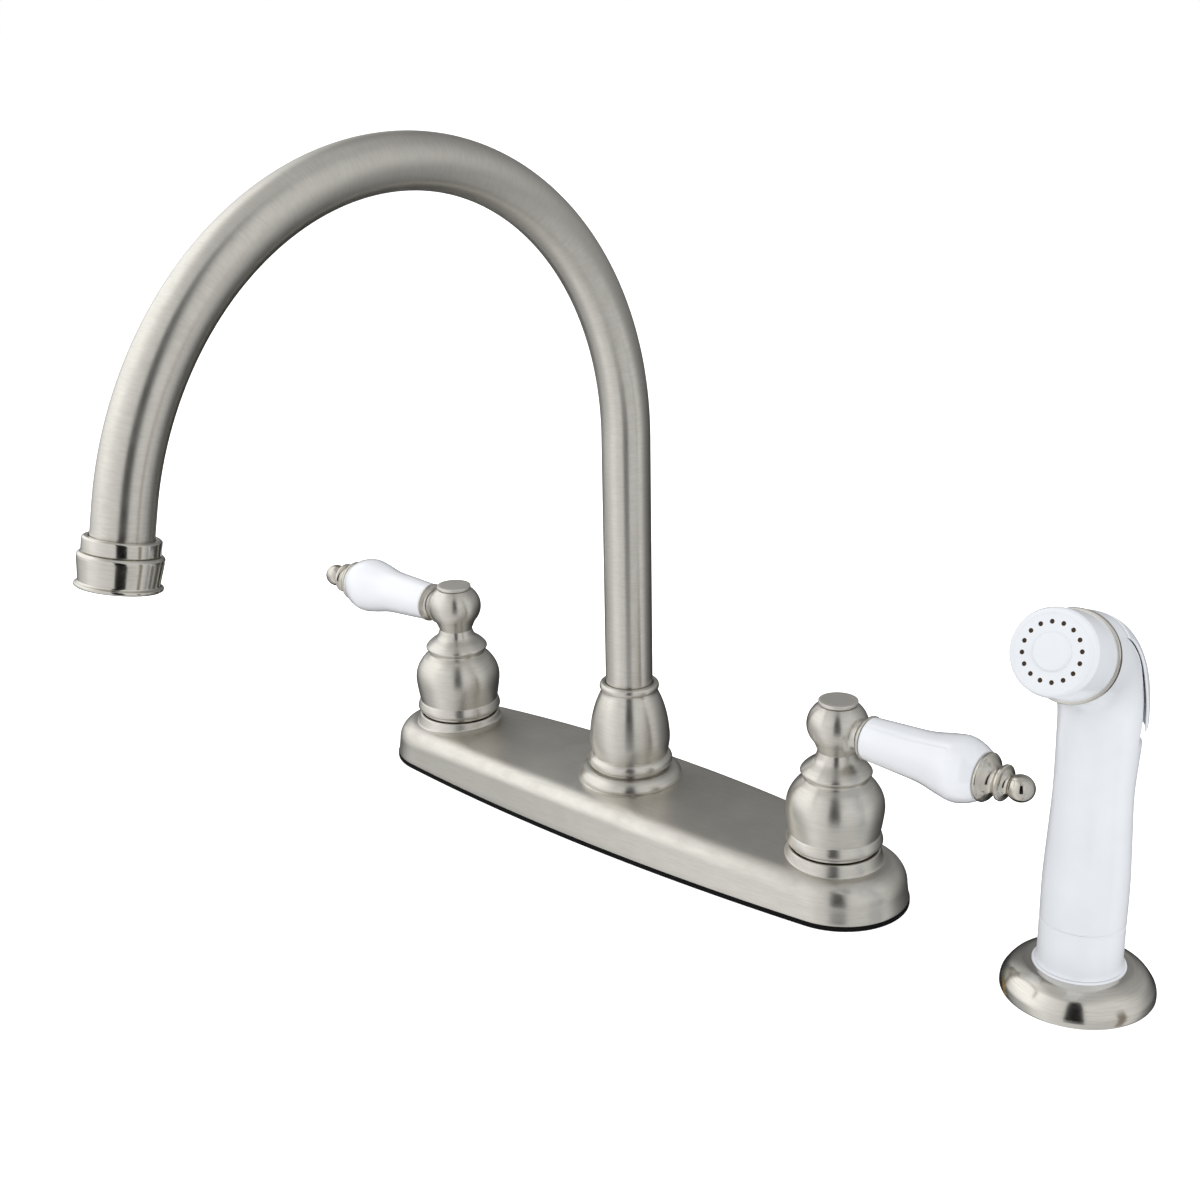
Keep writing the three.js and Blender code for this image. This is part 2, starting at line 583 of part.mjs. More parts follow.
// The turned hub: skirt ring, domed body, ogee flange, neck and ball, hollow below for the valve.
function handleHub() {
  const z = (height) => PLINTH_TOP + height;
  const topAngle = THREE.MathUtils.radToDeg(Math.acos(HUB_TOP_RADIUS / HUB_BALL_RADIUS));
  const ringMiddle = HUB_FOOT + HUB_RING_HEIGHT / 2 - 0.4;
  const hub = turned([
    [HUB_CAVITY_RADIUS, HUB_FOOT],
    ...arc([HUB_RING_RADIUS - 1.3, ringMiddle], 1.3, HUB_RING_HEIGHT / 2, SKIRT_RING_ARC, 2),
    ...sweep([
      [HUB_WAIST_RADIUS, HUB_FOOT + HUB_RING_HEIGHT + 0.6],
      [(HUB_WAIST_RADIUS + HUB_BODY_RADIUS) / 2, z(HUB_BODY_HEIGHT * 0.62)],
      [HUB_BODY_RADIUS, z(HUB_BODY_HEIGHT)],
      [HUB_BODY_RADIUS - 0.9, z(HUB_BODY_HEIGHT + 4.6)],
      [HUB_BODY_RADIUS - 3.4, z(HUB_SHOULDER_HEIGHT - 2.6)],
      [HUB_SHOULDER_RADIUS + 0.4, z(HUB_SHOULDER_HEIGHT - 0.3)],
    ], 6),
    [HUB_SHOULDER_RADIUS, z(HUB_SHOULDER_HEIGHT)],
    [HUB_SHOULDER_RADIUS, z(HUB_SHOULDER_HEIGHT + 0.9)],
    ...sweep([
      [HUB_FLANGE_RADIUS - 0.5, z(HUB_FLANGE_HEIGHT - 1.4)],
      [HUB_FLANGE_RADIUS, z(HUB_FLANGE_HEIGHT)],
      [HUB_FLANGE_RADIUS - 1.9, z(HUB_FLANGE_HEIGHT + 2.2)],
      [HUB_NECK_RADIUS + 1.3, z(HUB_NECK_HEIGHT - 3.2)],
      [HUB_NECK_RADIUS, z(HUB_NECK_HEIGHT)],
    ], 5),
    ...arc([0, z(HUB_BALL_HEIGHT)], HUB_BALL_RADIUS, HUB_BALL_HALF_HEIGHT, [HUB_BALL_FROM, topAngle], 5),
    [SCREW_HEAD_RADIUS + 0.6, HUB_CROWN], [SCREW_HEAD_RADIUS + 0.6, SCREW_SEAT],
    [SCREW_RADIUS + 0.4, SCREW_SEAT], [SCREW_RADIUS + 0.4, STEM_TOP + SLIP],
    [STEM_RADIUS + SLIP, STEM_TOP + SLIP], [STEM_RADIUS + SLIP, z(HUB_SOCKET_FLOOR)],
    [CARTRIDGE_SLEEVE_RADIUS + 1.5, z(HUB_SOCKET_FLOOR - 2)],
    [HUB_CAVITY_RADIUS, z(HUB_CAVITY_HEIGHT)],
  ]);
  const boss = crossRod(LEVER_BOSS_RADIUS, SCREW_HEAD_RADIUS + 2, LEVER_BOSS_END, LEVER_HEIGHT, 12);
  const studHole = crossRod(STUD_RADIUS + SLIP, 0, LEVER_BOSS_END + 1, LEVER_HEIGHT);
  return cut(joined(hub, boss), studHole);
}

function handleScrew() {
  const seat = SCREW_SEAT + 0.1;
  return turned([
    [0, STEM_TOP - STEM_TAP_DEPTH + 1], [SCREW_RADIUS, STEM_TOP - STEM_TAP_DEPTH + 2],
    [SCREW_RADIUS, seat], [SCREW_HEAD_RADIUS, seat], [SCREW_HEAD_RADIUS, seat + SCREW_HEAD_HEIGHT - 0.6],
    [SCREW_HEAD_RADIUS - 0.6, seat + SCREW_HEAD_HEIGHT], [0, seat + SCREW_HEAD_HEIGHT],
  ], 12);
}

function indexCap() {
  const low = HUB_CROWN + SLIP;
  const plug = SCREW_HEAD_RADIUS + 0.6 - SLIP;
  return turned([
    [0, low - CAP_PLUG_LENGTH], [plug, low - CAP_PLUG_LENGTH], [plug, low], [CAP_RADIUS - 0.2, low],
    [CAP_RADIUS, low + 0.4], [CAP_RADIUS, low + CAP_THICKNESS - 0.5],
    [CAP_RADIUS - 0.5, low + CAP_THICKNESS], [0, low + CAP_THICKNESS],
  ]);
}

function leverFerrule() {
  const root = LEVER_BOSS_END + SLIP;
  const bore = STUD_RADIUS + SLIP;
  return turned([
    [bore, root],
    ...sweep([
      [LEVER_BOSS_RADIUS + 0.2, root],
      [LEVER_BOSS_RADIUS + 0.5, root + 1.4],
      [FERRULE_RADIUS, FERRULE_END - 1],
    ], 3),
    [FERRULE_RADIUS, FERRULE_END], [bore, FERRULE_END],
  ]);
}

function leverGrip() {
  const root = FERRULE_END + 0.2;
  const length = GRIP_END - root;
  const at = (share) => root + length * share;
  return turned([
    [GRIP_BORE_RADIUS, root],
    ...sweep([
      [GRIP_ROOT_RADIUS, root],
      [GRIP_ROOT_RADIUS + 0.6, at(0.24)],
      [GRIP_WAIST_RADIUS, at(0.5)],
      [GRIP_RADIUS - 0.8, at(0.69)],
      [GRIP_RADIUS, at(0.81)],
      [GRIP_RADIUS - 1.1, at(0.91)],
      [GRIP_TIP_RADIUS, GRIP_END],
    ], 8),
    [GRIP_BORE_RADIUS, GRIP_END],
  ]);
}

function leverStud() {
  const end = GRIP_END + FINIAL_LENGTH * 0.26;
  return rod(STUD_RADIUS, SCREW_HEAD_RADIUS + 1.2, end, 12);
}

function leverFinial() {
  const low = GRIP_END + 0.2;
  const at = (share) => low + FINIAL_LENGTH * share;
  const bore = STUD_RADIUS + SLIP;
  const ballCentre = low + FINIAL_LENGTH - FINIAL_BALL_RADIUS;
  return turned([
    [bore, low], [FINIAL_DISC_RADIUS - 0.3, low], [FINIAL_DISC_RADIUS, at(0.05)],
    ...sweep([
      [FINIAL_DISC_RADIUS - 0.5, at(0.1)],
      [FINIAL_RING_RADIUS - 0.7, at(0.2)],
      [FINIAL_RING_RADIUS - 1.1, at(0.3)],
      [FINIAL_RING_RADIUS - 0.6, at(0.35)],
    ], 3),
    [FINIAL_RING_RADIUS, at(0.38)], [FINIAL_RING_RADIUS, at(0.42)],
    ...sweep([
      [FINIAL_RING_RADIUS - 1.2, at(0.45)],
      [FINIAL_NECK_RADIUS + 0.3, at(0.5)],
      [FINIAL_NECK_RADIUS, at(0.55)],
    ], 2),
    ...arc([0, ballCentre], FINIAL_BALL_RADIUS, FINIAL_BALL_RADIUS, [FINIAL_BALL_FROM, 90], 4),
    [0, at(0.34)], [bore, at(0.3)],
  ], 12);
}

// One handle, its lever along +X of its own frame.
function handle(prefix, x, yawDegrees) {
  const group = new THREE.Group();
  group.position.x = x;
  group.rotation.z = rad(yawDegrees);
  add(group, `${prefix}_handle_hub`, handleHub(), brushedNickel());
  add(group, `${prefix}_valve_stem`, valveStem(), brass());
  add(group, `${prefix}_handle_screw`, handleScrew(), steel());
  add(group, `${prefix}_index_cap`, indexCap(), brushedNickel());
  const lever = new THREE.Group();
  lever.position.z = LEVER_HEIGHT;
  lever.rotation.y = Math.PI / 2;
  group.add(lever);
  add(lever, `${prefix}_lever_ferrule`, leverFerrule(), brushedNickel());
  add(lever, `${prefix}_lever_grip`, leverGrip(), porcelain());
  add(lever, `${prefix}_lever_stud`, leverStud(), steel());
  add(lever, `${prefix}_lever_finial`, leverFinial(), polishedNickel());
  return group;
}

// ---------------------------------------------------------------- centre body and spout base

const CHAMBER_LOW = MIXING_TUBE_HEIGHT - MIXING_TUBE_RADIUS - SLIP;
const DIVERTER_BORE = DIVERTER_RADIUS + RUNNING;

function centreBody() {
  const flangeTop = BODY_FOOT + BODY_FLANGE_THICKNESS;
  const outletBore = NIPPLE_THREAD_RADIUS + SLIP;
  const body = turned([
    [outletBore, -OUTLET_BOSS_DEPTH], [OUTLET_BOSS_RADIUS, -OUTLET_BOSS_DEPTH],
    [OUTLET_BOSS_RADIUS, BODY_FOOT], [CENTRE_BODY_RADIUS + 3, BODY_FOOT],
    [CENTRE_BODY_RADIUS + 3, flangeTop - 1], [CENTRE_BODY_RADIUS, flangeTop],
    [CENTRE_BODY_RADIUS, CENTRE_BODY_TOP], [SOCKET_RADIUS, CENTRE_BODY_TOP],
    [SOCKET_RADIUS, SOCKET_FLOOR], [DIVERTER_BORE, SOCKET_FLOOR],
    [DIVERTER_BORE, CHAMBER_LOW], [outletBore, CHAMBER_LOW],
  ]);
  const reach = CENTRE_BODY_RADIUS + 4;
  const ports = crossRod(MIXING_TUBE_RADIUS + SLIP, -reach, reach, MIXING_TUBE_HEIGHT);
  return cut(body, ports);
}

// Diverter poppet: it sinks when the spray is shut and lifts when the spray draws water.
function diverter() {
  const low = CHAMBER_LOW + SLIP;
  return turned([
    [0, low], [DIVERTER_RADIUS, low], [DIVERTER_RADIUS, low + 1.6], [DIVERTER_RADIUS - 2.4, low + 2.6],
    [DIVERTER_RADIUS - 2.4, low + 5], [DIVERTER_RADIUS - 0.6, low + 6],
    [DIVERTER_RADIUS - 0.6, SOCKET_FLOOR - DIVERTER_TRAVEL], [0, SOCKET_FLOOR - DIVERTER_TRAVEL],
  ], 12);
}

function outletNipple() {
  const hexTop = -OUTLET_BOSS_DEPTH - 0.1;
  const hexLow = hexTop - 4;
  const low = hexTop - NIPPLE_LENGTH;
  const body = turned([
    [0, low], [HOSE_BARB_RADIUS, low], [HOSE_BARB_RADIUS, hexLow], [NIPPLE_THREAD_RADIUS, hexLow],
    [NIPPLE_THREAD_RADIUS, CHAMBER_LOW - 6], [0, CHAMBER_LOW - 6],
  ], 16);
  const bar = new THREE.CylinderGeometry(NIPPLE_HEX_RADIUS, NIPPLE_HEX_RADIUS, hexTop - hexLow, 6);
  bar.rotateX(Math.PI / 2).translate(0, 0, (hexTop + hexLow) / 2);
  return cut(joined(body, tidied(bar)), rod(HOSE_BORE_RADIUS, low - 1, CHAMBER_LOW, 12));
}

// Urn-shaped base of the spout: it screws onto the centre body and keeps the spout in its socket.
function spoutUrn() {
  const z = (height) => SPOUT_PAD_TOP + height;
  const throat = TUBE_RADIUS + RUNNING;
  const shoulder = TUBE_FOOT + BUSHING_THICKNESS + 2 * SLIP;
  return turned([
    [CENTRE_BODY_RADIUS + SLIP, z(0.1)],
    [URN_FOOT_RADIUS - 0.2, z(0.1)], [URN_FOOT_RADIUS, z(0.5)],
    ...sweep([
      [URN_FOOT_RADIUS - 0.3, z(0.9)],
      [URN_RING_RADIUS + 1.4, z(1.6)],
      [URN_RING_RADIUS - 0.6, z(2.8)],
    ], 3),
    ...arc([URN_RING_RADIUS - 1.7, z(URN_RING_HEIGHT)], 1.7, 2, URN_RING_ARC, 2),
    ...sweep([
      [URN_BODY_RADIUS - 1.1, z(URN_RING_HEIGHT + 2.6)],
      [URN_BODY_RADIUS - 0.2, z(URN_BODY_HEIGHT - 5.4)],
      [URN_BODY_RADIUS, z(URN_BODY_HEIGHT)],
      [URN_BODY_RADIUS - 0.9, z(URN_BODY_HEIGHT + 7.4)],
      [URN_NECK_RADIUS + 2.3, z(URN_BEAD_HEIGHT - 7.6)],
      [URN_NECK_RADIUS, z(URN_BEAD_HEIGHT - URN_BEAD_HALF - 0.5)],
    ], 6),
    ...arc([URN_BEAD_RADIUS - 1.4, z(URN_BEAD_HEIGHT)], 1.4, URN_BEAD_HALF, URN_BEAD_ARC, 3),
    [throat, z(URN_BEAD_HEIGHT + URN_BEAD_HALF)], [throat, shoulder],
    [SPIGOT_COLLAR_RADIUS + RUNNING, shoulder],
    [SPIGOT_COLLAR_RADIUS + RUNNING, CENTRE_BODY_TOP + SLIP],
    [CENTRE_BODY_RADIUS + SLIP, CENTRE_BODY_TOP + SLIP],
  ], 18);
}

const COLLAR_TOP = TUBE_FOOT - 0.2;
const COLLAR_LOW = COLLAR_TOP - SPIGOT_COLLAR;
const O_RING_HEIGHTS = { lower: SOCKET_FLOOR + 7, upper: SOCKET_FLOOR + 21 };
const O_RING_SEAT = SOCKET_RADIUS - 2 * O_RING_RADIUS - 0.4;

// Brass end of the spout that turns in the socket, with its two sealing grooves.
function spoutSpigot() {
  const outside = SOCKET_RADIUS - RUNNING;
  const half = O_RING_RADIUS + 0.25;
  const groove = (height) => [
    [outside, height - half], [O_RING_SEAT, height - half],
    [O_RING_SEAT, height + half], [outside, height + half],
  ];
  return turned([
    [SOCKET_RADIUS - 4, SOCKET_FLOOR + 1], [outside, SOCKET_FLOOR + 1],
    ...groove(O_RING_HEIGHTS.lower), ...groove(O_RING_HEIGHTS.upper),
    [outside, COLLAR_LOW], [SPIGOT_COLLAR_RADIUS, COLLAR_LOW], [SPIGOT_COLLAR_RADIUS, COLLAR_TOP],
    [TUBE_RADIUS - TUBE_WALL - 0.35, COLLAR_TOP], [TUBE_RADIUS - TUBE_WALL - 0.35, COLLAR_TOP + 11],
    [SOCKET_RADIUS - 4, COLLAR_TOP + 11],
  ]);
}

function oRing(height) {
  const centre = O_RING_SEAT + O_RING_RADIUS + 0.1;
  return turned(arc([centre, height], O_RING_RADIUS, O_RING_RADIUS, [0, 300], 5));
}

const spoutBushing = () =>
  ring(TUBE_RADIUS + RUNNING, SPIGOT_COLLAR_RADIUS, TUBE_FOOT + SLIP, TUBE_FOOT + SLIP + BUSHING_THICKNESS);

// ---------------------------------------------------------------- spout tube and outlet

// The centre line of the spout: up, over the bend towards -Y, and down the slanted outlet leg.
// One step runs up the riser and one down the leg, and the others share the bend.
class Gooseneck extends THREE.Curve {
  constructor(steps) {
    super();
    this.steps = steps;
  }

  getUtoTmapping(u) {
    return u;
  }

  getPoint(t) {
    const step = t * this.steps;
    const turn = rad(BEND_DEGREES) * THREE.MathUtils.clamp((step - 1) / (this.steps - 2), 0, 1);
    const point = new THREE.Vector3(
      0,
      BEND_RADIUS * (Math.cos(turn) - 1),
      RISER_TOP + BEND_RADIUS * Math.sin(turn),
    );
    if (step < 1) point.z = THREE.MathUtils.lerp(TUBE_FOOT, RISER_TOP, step);
    const down = Math.max(step - this.steps + 1, 0) * (OUTLET_LEG - 1);
    point.y -= Math.sin(turn) * down;
    point.z += Math.cos(turn) * down;
    return point;
  }

  getTangent(t) {
    const step = t * this.steps;
    const turn = rad(BEND_DEGREES) * THREE.MathUtils.clamp((step - 1) / (this.steps - 2), 0, 1);
    return new THREE.Vector3(0, -Math.sin(turn), Math.cos(turn));
  }
}

function circle(radius, sides, backwards = false) {
  const points = [];
  for (let i = 0; i < sides; i += 1) {
    const angle = ((backwards ? -1 : 1) * 2 * Math.PI * i) / sides;
    points.push(new THREE.Vector2(radius * Math.cos(angle), radius * Math.sin(angle)));
  }
  return points;
}

function spoutTube() {
  const sides = 14;
  const steps = 22;
  const section = new THREE.Shape(circle(TUBE_RADIUS, sides));
  section.holes.push(new THREE.Path(circle(TUBE_RADIUS - TUBE_WALL, sides, true)));
  return tidied(new THREE.ExtrudeGeometry(section, {
    steps, bevelEnabled: false, extrudePath: new Gooseneck(steps),
  }));
}

// Collar brazed on the end of the tube, with the thread that the aerator screws onto.
function outletCollar() {
  const bore = TUBE_RADIUS - TUBE_WALL;
  const pocket = TUBE_RADIUS + SLIP;
  return turned([
    [bore, -OUTLET_THREAD_LENGTH], [OUTLET_THREAD_RADIUS, -OUTLET_THREAD_LENGTH],
    [OUTLET_THREAD_RADIUS, 0], [COLLAR_RADIUS, 0], [COLLAR_RADIUS, COLLAR_LENGTH - 0.6],
    [COLLAR_RADIUS - 0.6, COLLAR_LENGTH], [pocket, COLLAR_LENGTH], [pocket, 0.9], [bore, 0.9],
  ]);
}

// Aerator housing: a tapered sleeve with a stepped top and a rolled rim.
function aeratorHousing() {
  const top = -SLIP;
  const low = top - HOUSING_LENGTH;
  const rimTop = low + HOUSING_RIM;
  const threadBore = OUTLET_THREAD_RADIUS + 0.2;
  const lip = AERATOR_RADIUS - 0.9;
  return turned([
    [lip, low], [HOUSING_RIM_RADIUS - 0.4, low], [HOUSING_RIM_RADIUS, low + 0.5],
    [HOUSING_RIM_RADIUS - 0.1, rimTop - 0.2], [HOUSING_FOOT_RADIUS, rimTop + 0.5],
    [HOUSING_RADIUS, top - 1], [HOUSING_RADIUS - 0.4, top - 0.3], [HOUSING_RADIUS - 1, top],
    [threadBore, top], [threadBore, low + 0.8], [lip, low + 0.8],
  ]);
}

const AERATOR_LOW = -SLIP - HOUSING_LENGTH + 0.8 + 0.15;

function aeratorInsert() {
  const top = AERATOR_LOW + AERATOR_HEIGHT;
  return turned([
    [0, AERATOR_LOW], [AERATOR_RADIUS, AERATOR_LOW], [AERATOR_RADIUS, top - 0.8],
    [AERATOR_RADIUS - 0.8, top], [0, top],
  ]);
}

function aeratorWasher() {
  const low = AERATOR_LOW + AERATOR_HEIGHT + 0.15;
  return ring(AERATOR_RADIUS - 3, AERATOR_RADIUS, low, low + AERATOR_WASHER);
}

// ---------------------------------------------------------------- side spray holder

function sprayEscutcheon() {
  const seat = ESCUTCHEON_HEIGHT - GUIDE_FLANGE;
  const outer = [
    [ESCUTCHEON_RADIUS - 0.3, 0],
    ...sweep([
      [ESCUTCHEON_RADIUS, 0.6],
      [ESCUTCHEON_RADIUS - 0.7, ESCUTCHEON_HEIGHT * 0.4],
      [ESCUTCHEON_RADIUS - 3.4, ESCUTCHEON_HEIGHT * 0.74],
      [ESCUTCHEON_RADIUS - 7.4, ESCUTCHEON_HEIGHT * 0.95],
      [GUIDE_FLANGE_RADIUS + SLIP, ESCUTCHEON_HEIGHT],
    ], 5),
  ];
  const inner = [
    [GUIDE_FLANGE_RADIUS + SLIP, seat], [GUIDE_SHANK_RADIUS + SLIP, seat],
    [GUIDE_SHANK_RADIUS + SLIP, seat - ESCUTCHEON_WALL],
    [ESCUTCHEON_RADIUS - 8, seat - ESCUTCHEON_WALL],
    [ESCUTCHEON_RADIUS - ESCUTCHEON_WALL - 1, ESCUTCHEON_HEIGHT * 0.35],
    [ESCUTCHEON_RADIUS - ESCUTCHEON_WALL - 0.4, 0],
  ];
  return turned([...outer, ...inner], 20);
}

const GUIDE_TOP = ESCUTCHEON_HEIGHT + 0.2;

function sprayGuide() {
  const seat = GUIDE_TOP - GUIDE_FLANGE + 0.1;
  return turned([
    [GUIDE_BORE_RADIUS, -GUIDE_LENGTH], [GUIDE_SHANK_RADIUS - 0.6, -GUIDE_LENGTH],
    [GUIDE_SHANK_RADIUS, -GUIDE_LENGTH + 0.8], [GUIDE_SHANK_RADIUS, seat], [GUIDE_FLANGE_RADIUS, seat],
    [GUIDE_FLANGE_RADIUS, GUIDE_TOP - 0.4], [GUIDE_FLANGE_RADIUS - 0.4, GUIDE_TOP],
    [GUIDE_BORE_RADIUS + 0.6, GUIDE_TOP], [GUIDE_BORE_RADIUS, GUIDE_TOP - 0.6],
  ]);
}

// Plastic nut with a flange, run up against the underside of the deck.
function guideNut() {
  const bore = GUIDE_SHANK_RADIUS + SLIP;
  const flange = ring(bore, GUIDE_NUT_RADIUS, WASHER_TOP - 2, WASHER_TOP);
  const hex = hexNut(bore, GUIDE_NUT_RADIUS - 3, WASHER_TOP - GUIDE_NUT_HEIGHT, WASHER_TOP - 1);
  return joined(flange, hex);
}

// ---------------------------------------------------------------- side spray

// Sleeve and coupling that carry the hose; they lift out of the guide with the spray.
const SLEEVE_FOOT = GUIDE_TOP + SLIP;

function baseSleeve() {
  const bore = COUPLING_RADIUS + SLIP;
  return turned([
    [bore, SLEEVE_FOOT], [SLEEVE_RADIUS - 0.4, SLEEVE_FOOT], [SLEEVE_RADIUS, SLEEVE_FOOT + 0.5],
    [SLEEVE_RADIUS, SLEEVE_TOP - 0.3], [SLEEVE_RADIUS - 0.3, SLEEVE_TOP],
    [COUPLING_NECK_RADIUS + SLIP, SLEEVE_TOP], [COUPLING_NECK_RADIUS + SLIP, SLEEVE_TOP - 2],
    [bore, SLEEVE_TOP - 2],
  ]);
}

function hoseCoupling() {
  const shoulder = SLEEVE_TOP - 2 - SLIP;
  const barbTop = -COUPLING_DEPTH;
  return turned([
    [HOSE_BORE_RADIUS, barbTop - HOSE_BARB_LENGTH], [HOSE_BARB_RADIUS - 0.8, barbTop - HOSE_BARB_LENGTH],
    [HOSE_BARB_RADIUS, barbTop - HOSE_BARB_LENGTH + 3], [HOSE_BARB_RADIUS, barbTop],
    [COUPLING_RADIUS, barbTop], [COUPLING_RADIUS, shoulder], [COUPLING_NECK_RADIUS, shoulder],
    [COUPLING_NECK_RADIUS, COUPLING_TOP], [HOSE_BORE_RADIUS, COUPLING_TOP],
  ], 16);
}

const HANDSET_FOOT = SLEEVE_TOP + SEAM;
const FORM_SIDES = 14;

// Centre line of the handset: [forward, height, tilt in degrees, half width, half depth].
function handsetStations() {
  const swell = GRIP_SWELL_OFFSET;
  const swellStart = (GRIP_MIDDLE_HEIGHT + HEAD_START) / 2;
  const stations = [
    [0, HANDSET_FOOT, 0, SLEEVE_RADIUS, SLEEVE_RADIUS],
    [0, HANDSET_FOOT + 14, 0, SLEEVE_RADIUS, SLEEVE_RADIUS],
    [0, GRIP_MIDDLE_HEIGHT - 17, 0, SLEEVE_RADIUS - 0.6, SLEEVE_RADIUS - 0.6],
    [0, GRIP_MIDDLE_HEIGHT, 0, GRIP_MIDDLE_RADIUS, GRIP_MIDDLE_RADIUS],
    [-swell / 2, swellStart, 0, GRIP_MIDDLE_RADIUS + 0.2, GRIP_MIDDLE_RADIUS + 1.2],
    [-swell, HEAD_START, 0, GRIP_MIDDLE_RADIUS + 0.6, GRIP_SWELL_DEPTH],
  ];
  const bends = 4;
  for (let i = 1; i <= bends; i += 1) {
    const share = i / bends;
    const tilt = HEAD_TILT * share;
    stations.push([
      -swell * (1 - share) + HEAD_BEND_RADIUS * (1 - Math.cos(rad(tilt))),
      HEAD_START + HEAD_BEND_RADIUS * Math.sin(rad(tilt)),
      tilt,
      THREE.MathUtils.lerp(GRIP_MIDDLE_RADIUS + 0.6, HEAD_RADIUS, share),
      THREE.MathUtils.lerp(GRIP_SWELL_DEPTH, HEAD_RADIUS, share),
    ]);
  }
  return stations;
}

const HEAD_JOINT = {
  forward: HEAD_BEND_RADIUS * (1 - Math.cos(rad(HEAD_TILT))),
  height: HEAD_START + HEAD_BEND_RADIUS * Math.sin(rad(HEAD_TILT)),
};
const HEAD_END = {
  forward: HEAD_JOINT.forward + HEAD_NECK_LENGTH * Math.sin(rad(HEAD_TILT)),
  height: HEAD_JOINT.height + HEAD_NECK_LENGTH * Math.cos(rad(HEAD_TILT)),
};

function sectionRing([forward, height, tilt, halfWidth, halfDepth], sides) {
  const points = [];
  for (let i = 0; i < sides; i += 1) {
    const angle = (2 * Math.PI * i) / sides;
    const back = halfDepth * Math.sin(angle);
    points.push(new THREE.Vector3(
      halfWidth * Math.cos(angle),
      -forward + back * Math.cos(rad(tilt)),
      height + back * Math.sin(rad(tilt)),
    ));
  }
  return points;
}

// How far the flat at the back of the form, drawn in by an inset, stands from the axis at a height.
function backAt(height, inset) {
  const flat = Math.cos(Math.PI / FORM_SIDES);
  const backs = handsetStations().map(([forward, middle, tilt, , halfDepth]) => {
    const reach = (halfDepth - inset) * flat;
    return [middle + reach * Math.sin(rad(tilt)), reach * Math.cos(rad(tilt)) - forward];
  });
  const next = backs.findIndex(([z]) => z >= height);
  const [[z0, y0], [z1, y1]] = backs.slice(next - 1, next + 1);
  return THREE.MathUtils.mapLinear(height, z0, z1, y0, y1);
}

// The handset's form, drawn in by an inset and run on past its two ends.
function handsetForm(inset, footExtra = 0, headExtra = 0, sides = FORM_SIDES) {
  const stations = handsetStations();
  const end = [
    HEAD_END.forward + headExtra * Math.sin(rad(HEAD_TILT)),
    HEAD_END.height + headExtra * Math.cos(rad(HEAD_TILT)),
    HEAD_TILT, HEAD_RADIUS, HEAD_RADIUS,
  ];
  stations[0][1] -= footExtra;
  const rings = [...stations, end].map(([forward, height, tilt, halfWidth, halfDepth]) =>
    sectionRing([forward, height, tilt, halfWidth - inset, halfDepth - inset], sides));
  return lofted(rings);
}

// The side view of the trigger, as an upright slab: up the back and over the head.
function triggerSlab(clearance, halfWidth) {
  const foot = TRIGGER_FOOT - clearance;
  const front = HEAD_JOINT.forward - 1 + clearance;
  const backY = 40;
  const topZ = HEAD_END.height + 40;
  const shape = new THREE.Shape([
    new THREE.Vector2(4, foot), new THREE.Vector2(backY, foot), new THREE.Vector2(backY, topZ),
    new THREE.Vector2(-front, topZ), new THREE.Vector2(-front + 3, HEAD_JOINT.height),
  ]);
  const slab = new THREE.ExtrudeGeometry(shape, { depth: 2 * halfWidth, bevelEnabled: false });
  // the drawing's x becomes y and its y becomes z
  slab.translate(0, 0, -halfWidth).rotateY(Math.PI / 2).rotateX(Math.PI / 2);
  return tidied(slab);
}

const PIN_REACH = HEAD_BEND_RADIUS + TRIGGER_PIN_OFFSET;
const PIN_Y = PIN_REACH * Math.cos(rad(TRIGGER_PIN_TILT)) - HEAD_BEND_RADIUS;
const PIN_Z = HEAD_START + PIN_REACH * Math.sin(rad(TRIGGER_PIN_TILT));

function pinRod(radius, halfLength, sides = 12) {
  return crossRod(radius, -halfLength, halfLength, 0, sides).translate(0, PIN_Y, PIN_Z);
}

// Everything that the trigger passes through when it is pressed, with room round it.
function triggerPocket() {
  const inside = TRIGGER_THICKNESS - TRIGGER_PROUD + TRIGGER_CLEARANCE;
  const slab = triggerSlab(TRIGGER_CLEARANCE, TRIGGER_HALF_WIDTH + TRIGGER_CLEARANCE);
  const skin = cut(shared(handsetForm(-4), slab), handsetForm(inside));
  const places = [0, 1 / 2, 1].map((share) => {
    const turn = -rad(TRIGGER_SWING * share);
    return skin.clone().translate(0, -PIN_Y, -PIN_Z).rotateX(turn).translate(0, PIN_Y, PIN_Z);
  });
  const slot = TRIGGER_EYE_HALF_WIDTH + 0.5;
  const eye = pinRod(TRIGGER_EYE_RADIUS + 0.5, slot);
  const web = new THREE.BoxGeometry(2 * slot, 2 * TRIGGER_EYE_RADIUS + 1, 9);
  web.translate(0, 0, 4.5).rotateX(-rad(90 - TRIGGER_PIN_TILT)).translate(0, PIN_Y, PIN_Z);
  return joined(places[0], ...places.slice(1), eye, tidied(web));
}

function plungerRod(radius, fromY, toY) {
  const pin = rod(radius, fromY, toY, 12);
  return pin.rotateX(-Math.PI / 2).translate(0, 0, PLUNGER_HEIGHT);
}

function handsetShell() {
  const outside = handsetForm(0);
  const waterway = handsetForm(HEAD_RADIUS - WATERWAY_RADIUS, 2, SPIGOT_LENGTH + 2, 8);
  const spigot = ring(WATERWAY_RADIUS, NOZZLE_RADIUS - NOZZLE_WALL - SLIP - 0.2, -3, SPIGOT_LENGTH);
  intoHead(spigot);
  const pinHole = pinRod(TRIGGER_PIN_RADIUS + 0.15, HEAD_RADIUS + 4);
  const plungerHole = plungerRod(PLUNGER_RADIUS + RUNNING, 0, 30);
  const couplingBore = rod(COUPLING_NECK_RADIUS + RUNNING, 0, COUPLING_TOP + 1, 14);
  const shell = joined(cut(outside, triggerPocket()), spigot);
  return cut(shell, waterway, pinHole, plungerHole, couplingBore);
}

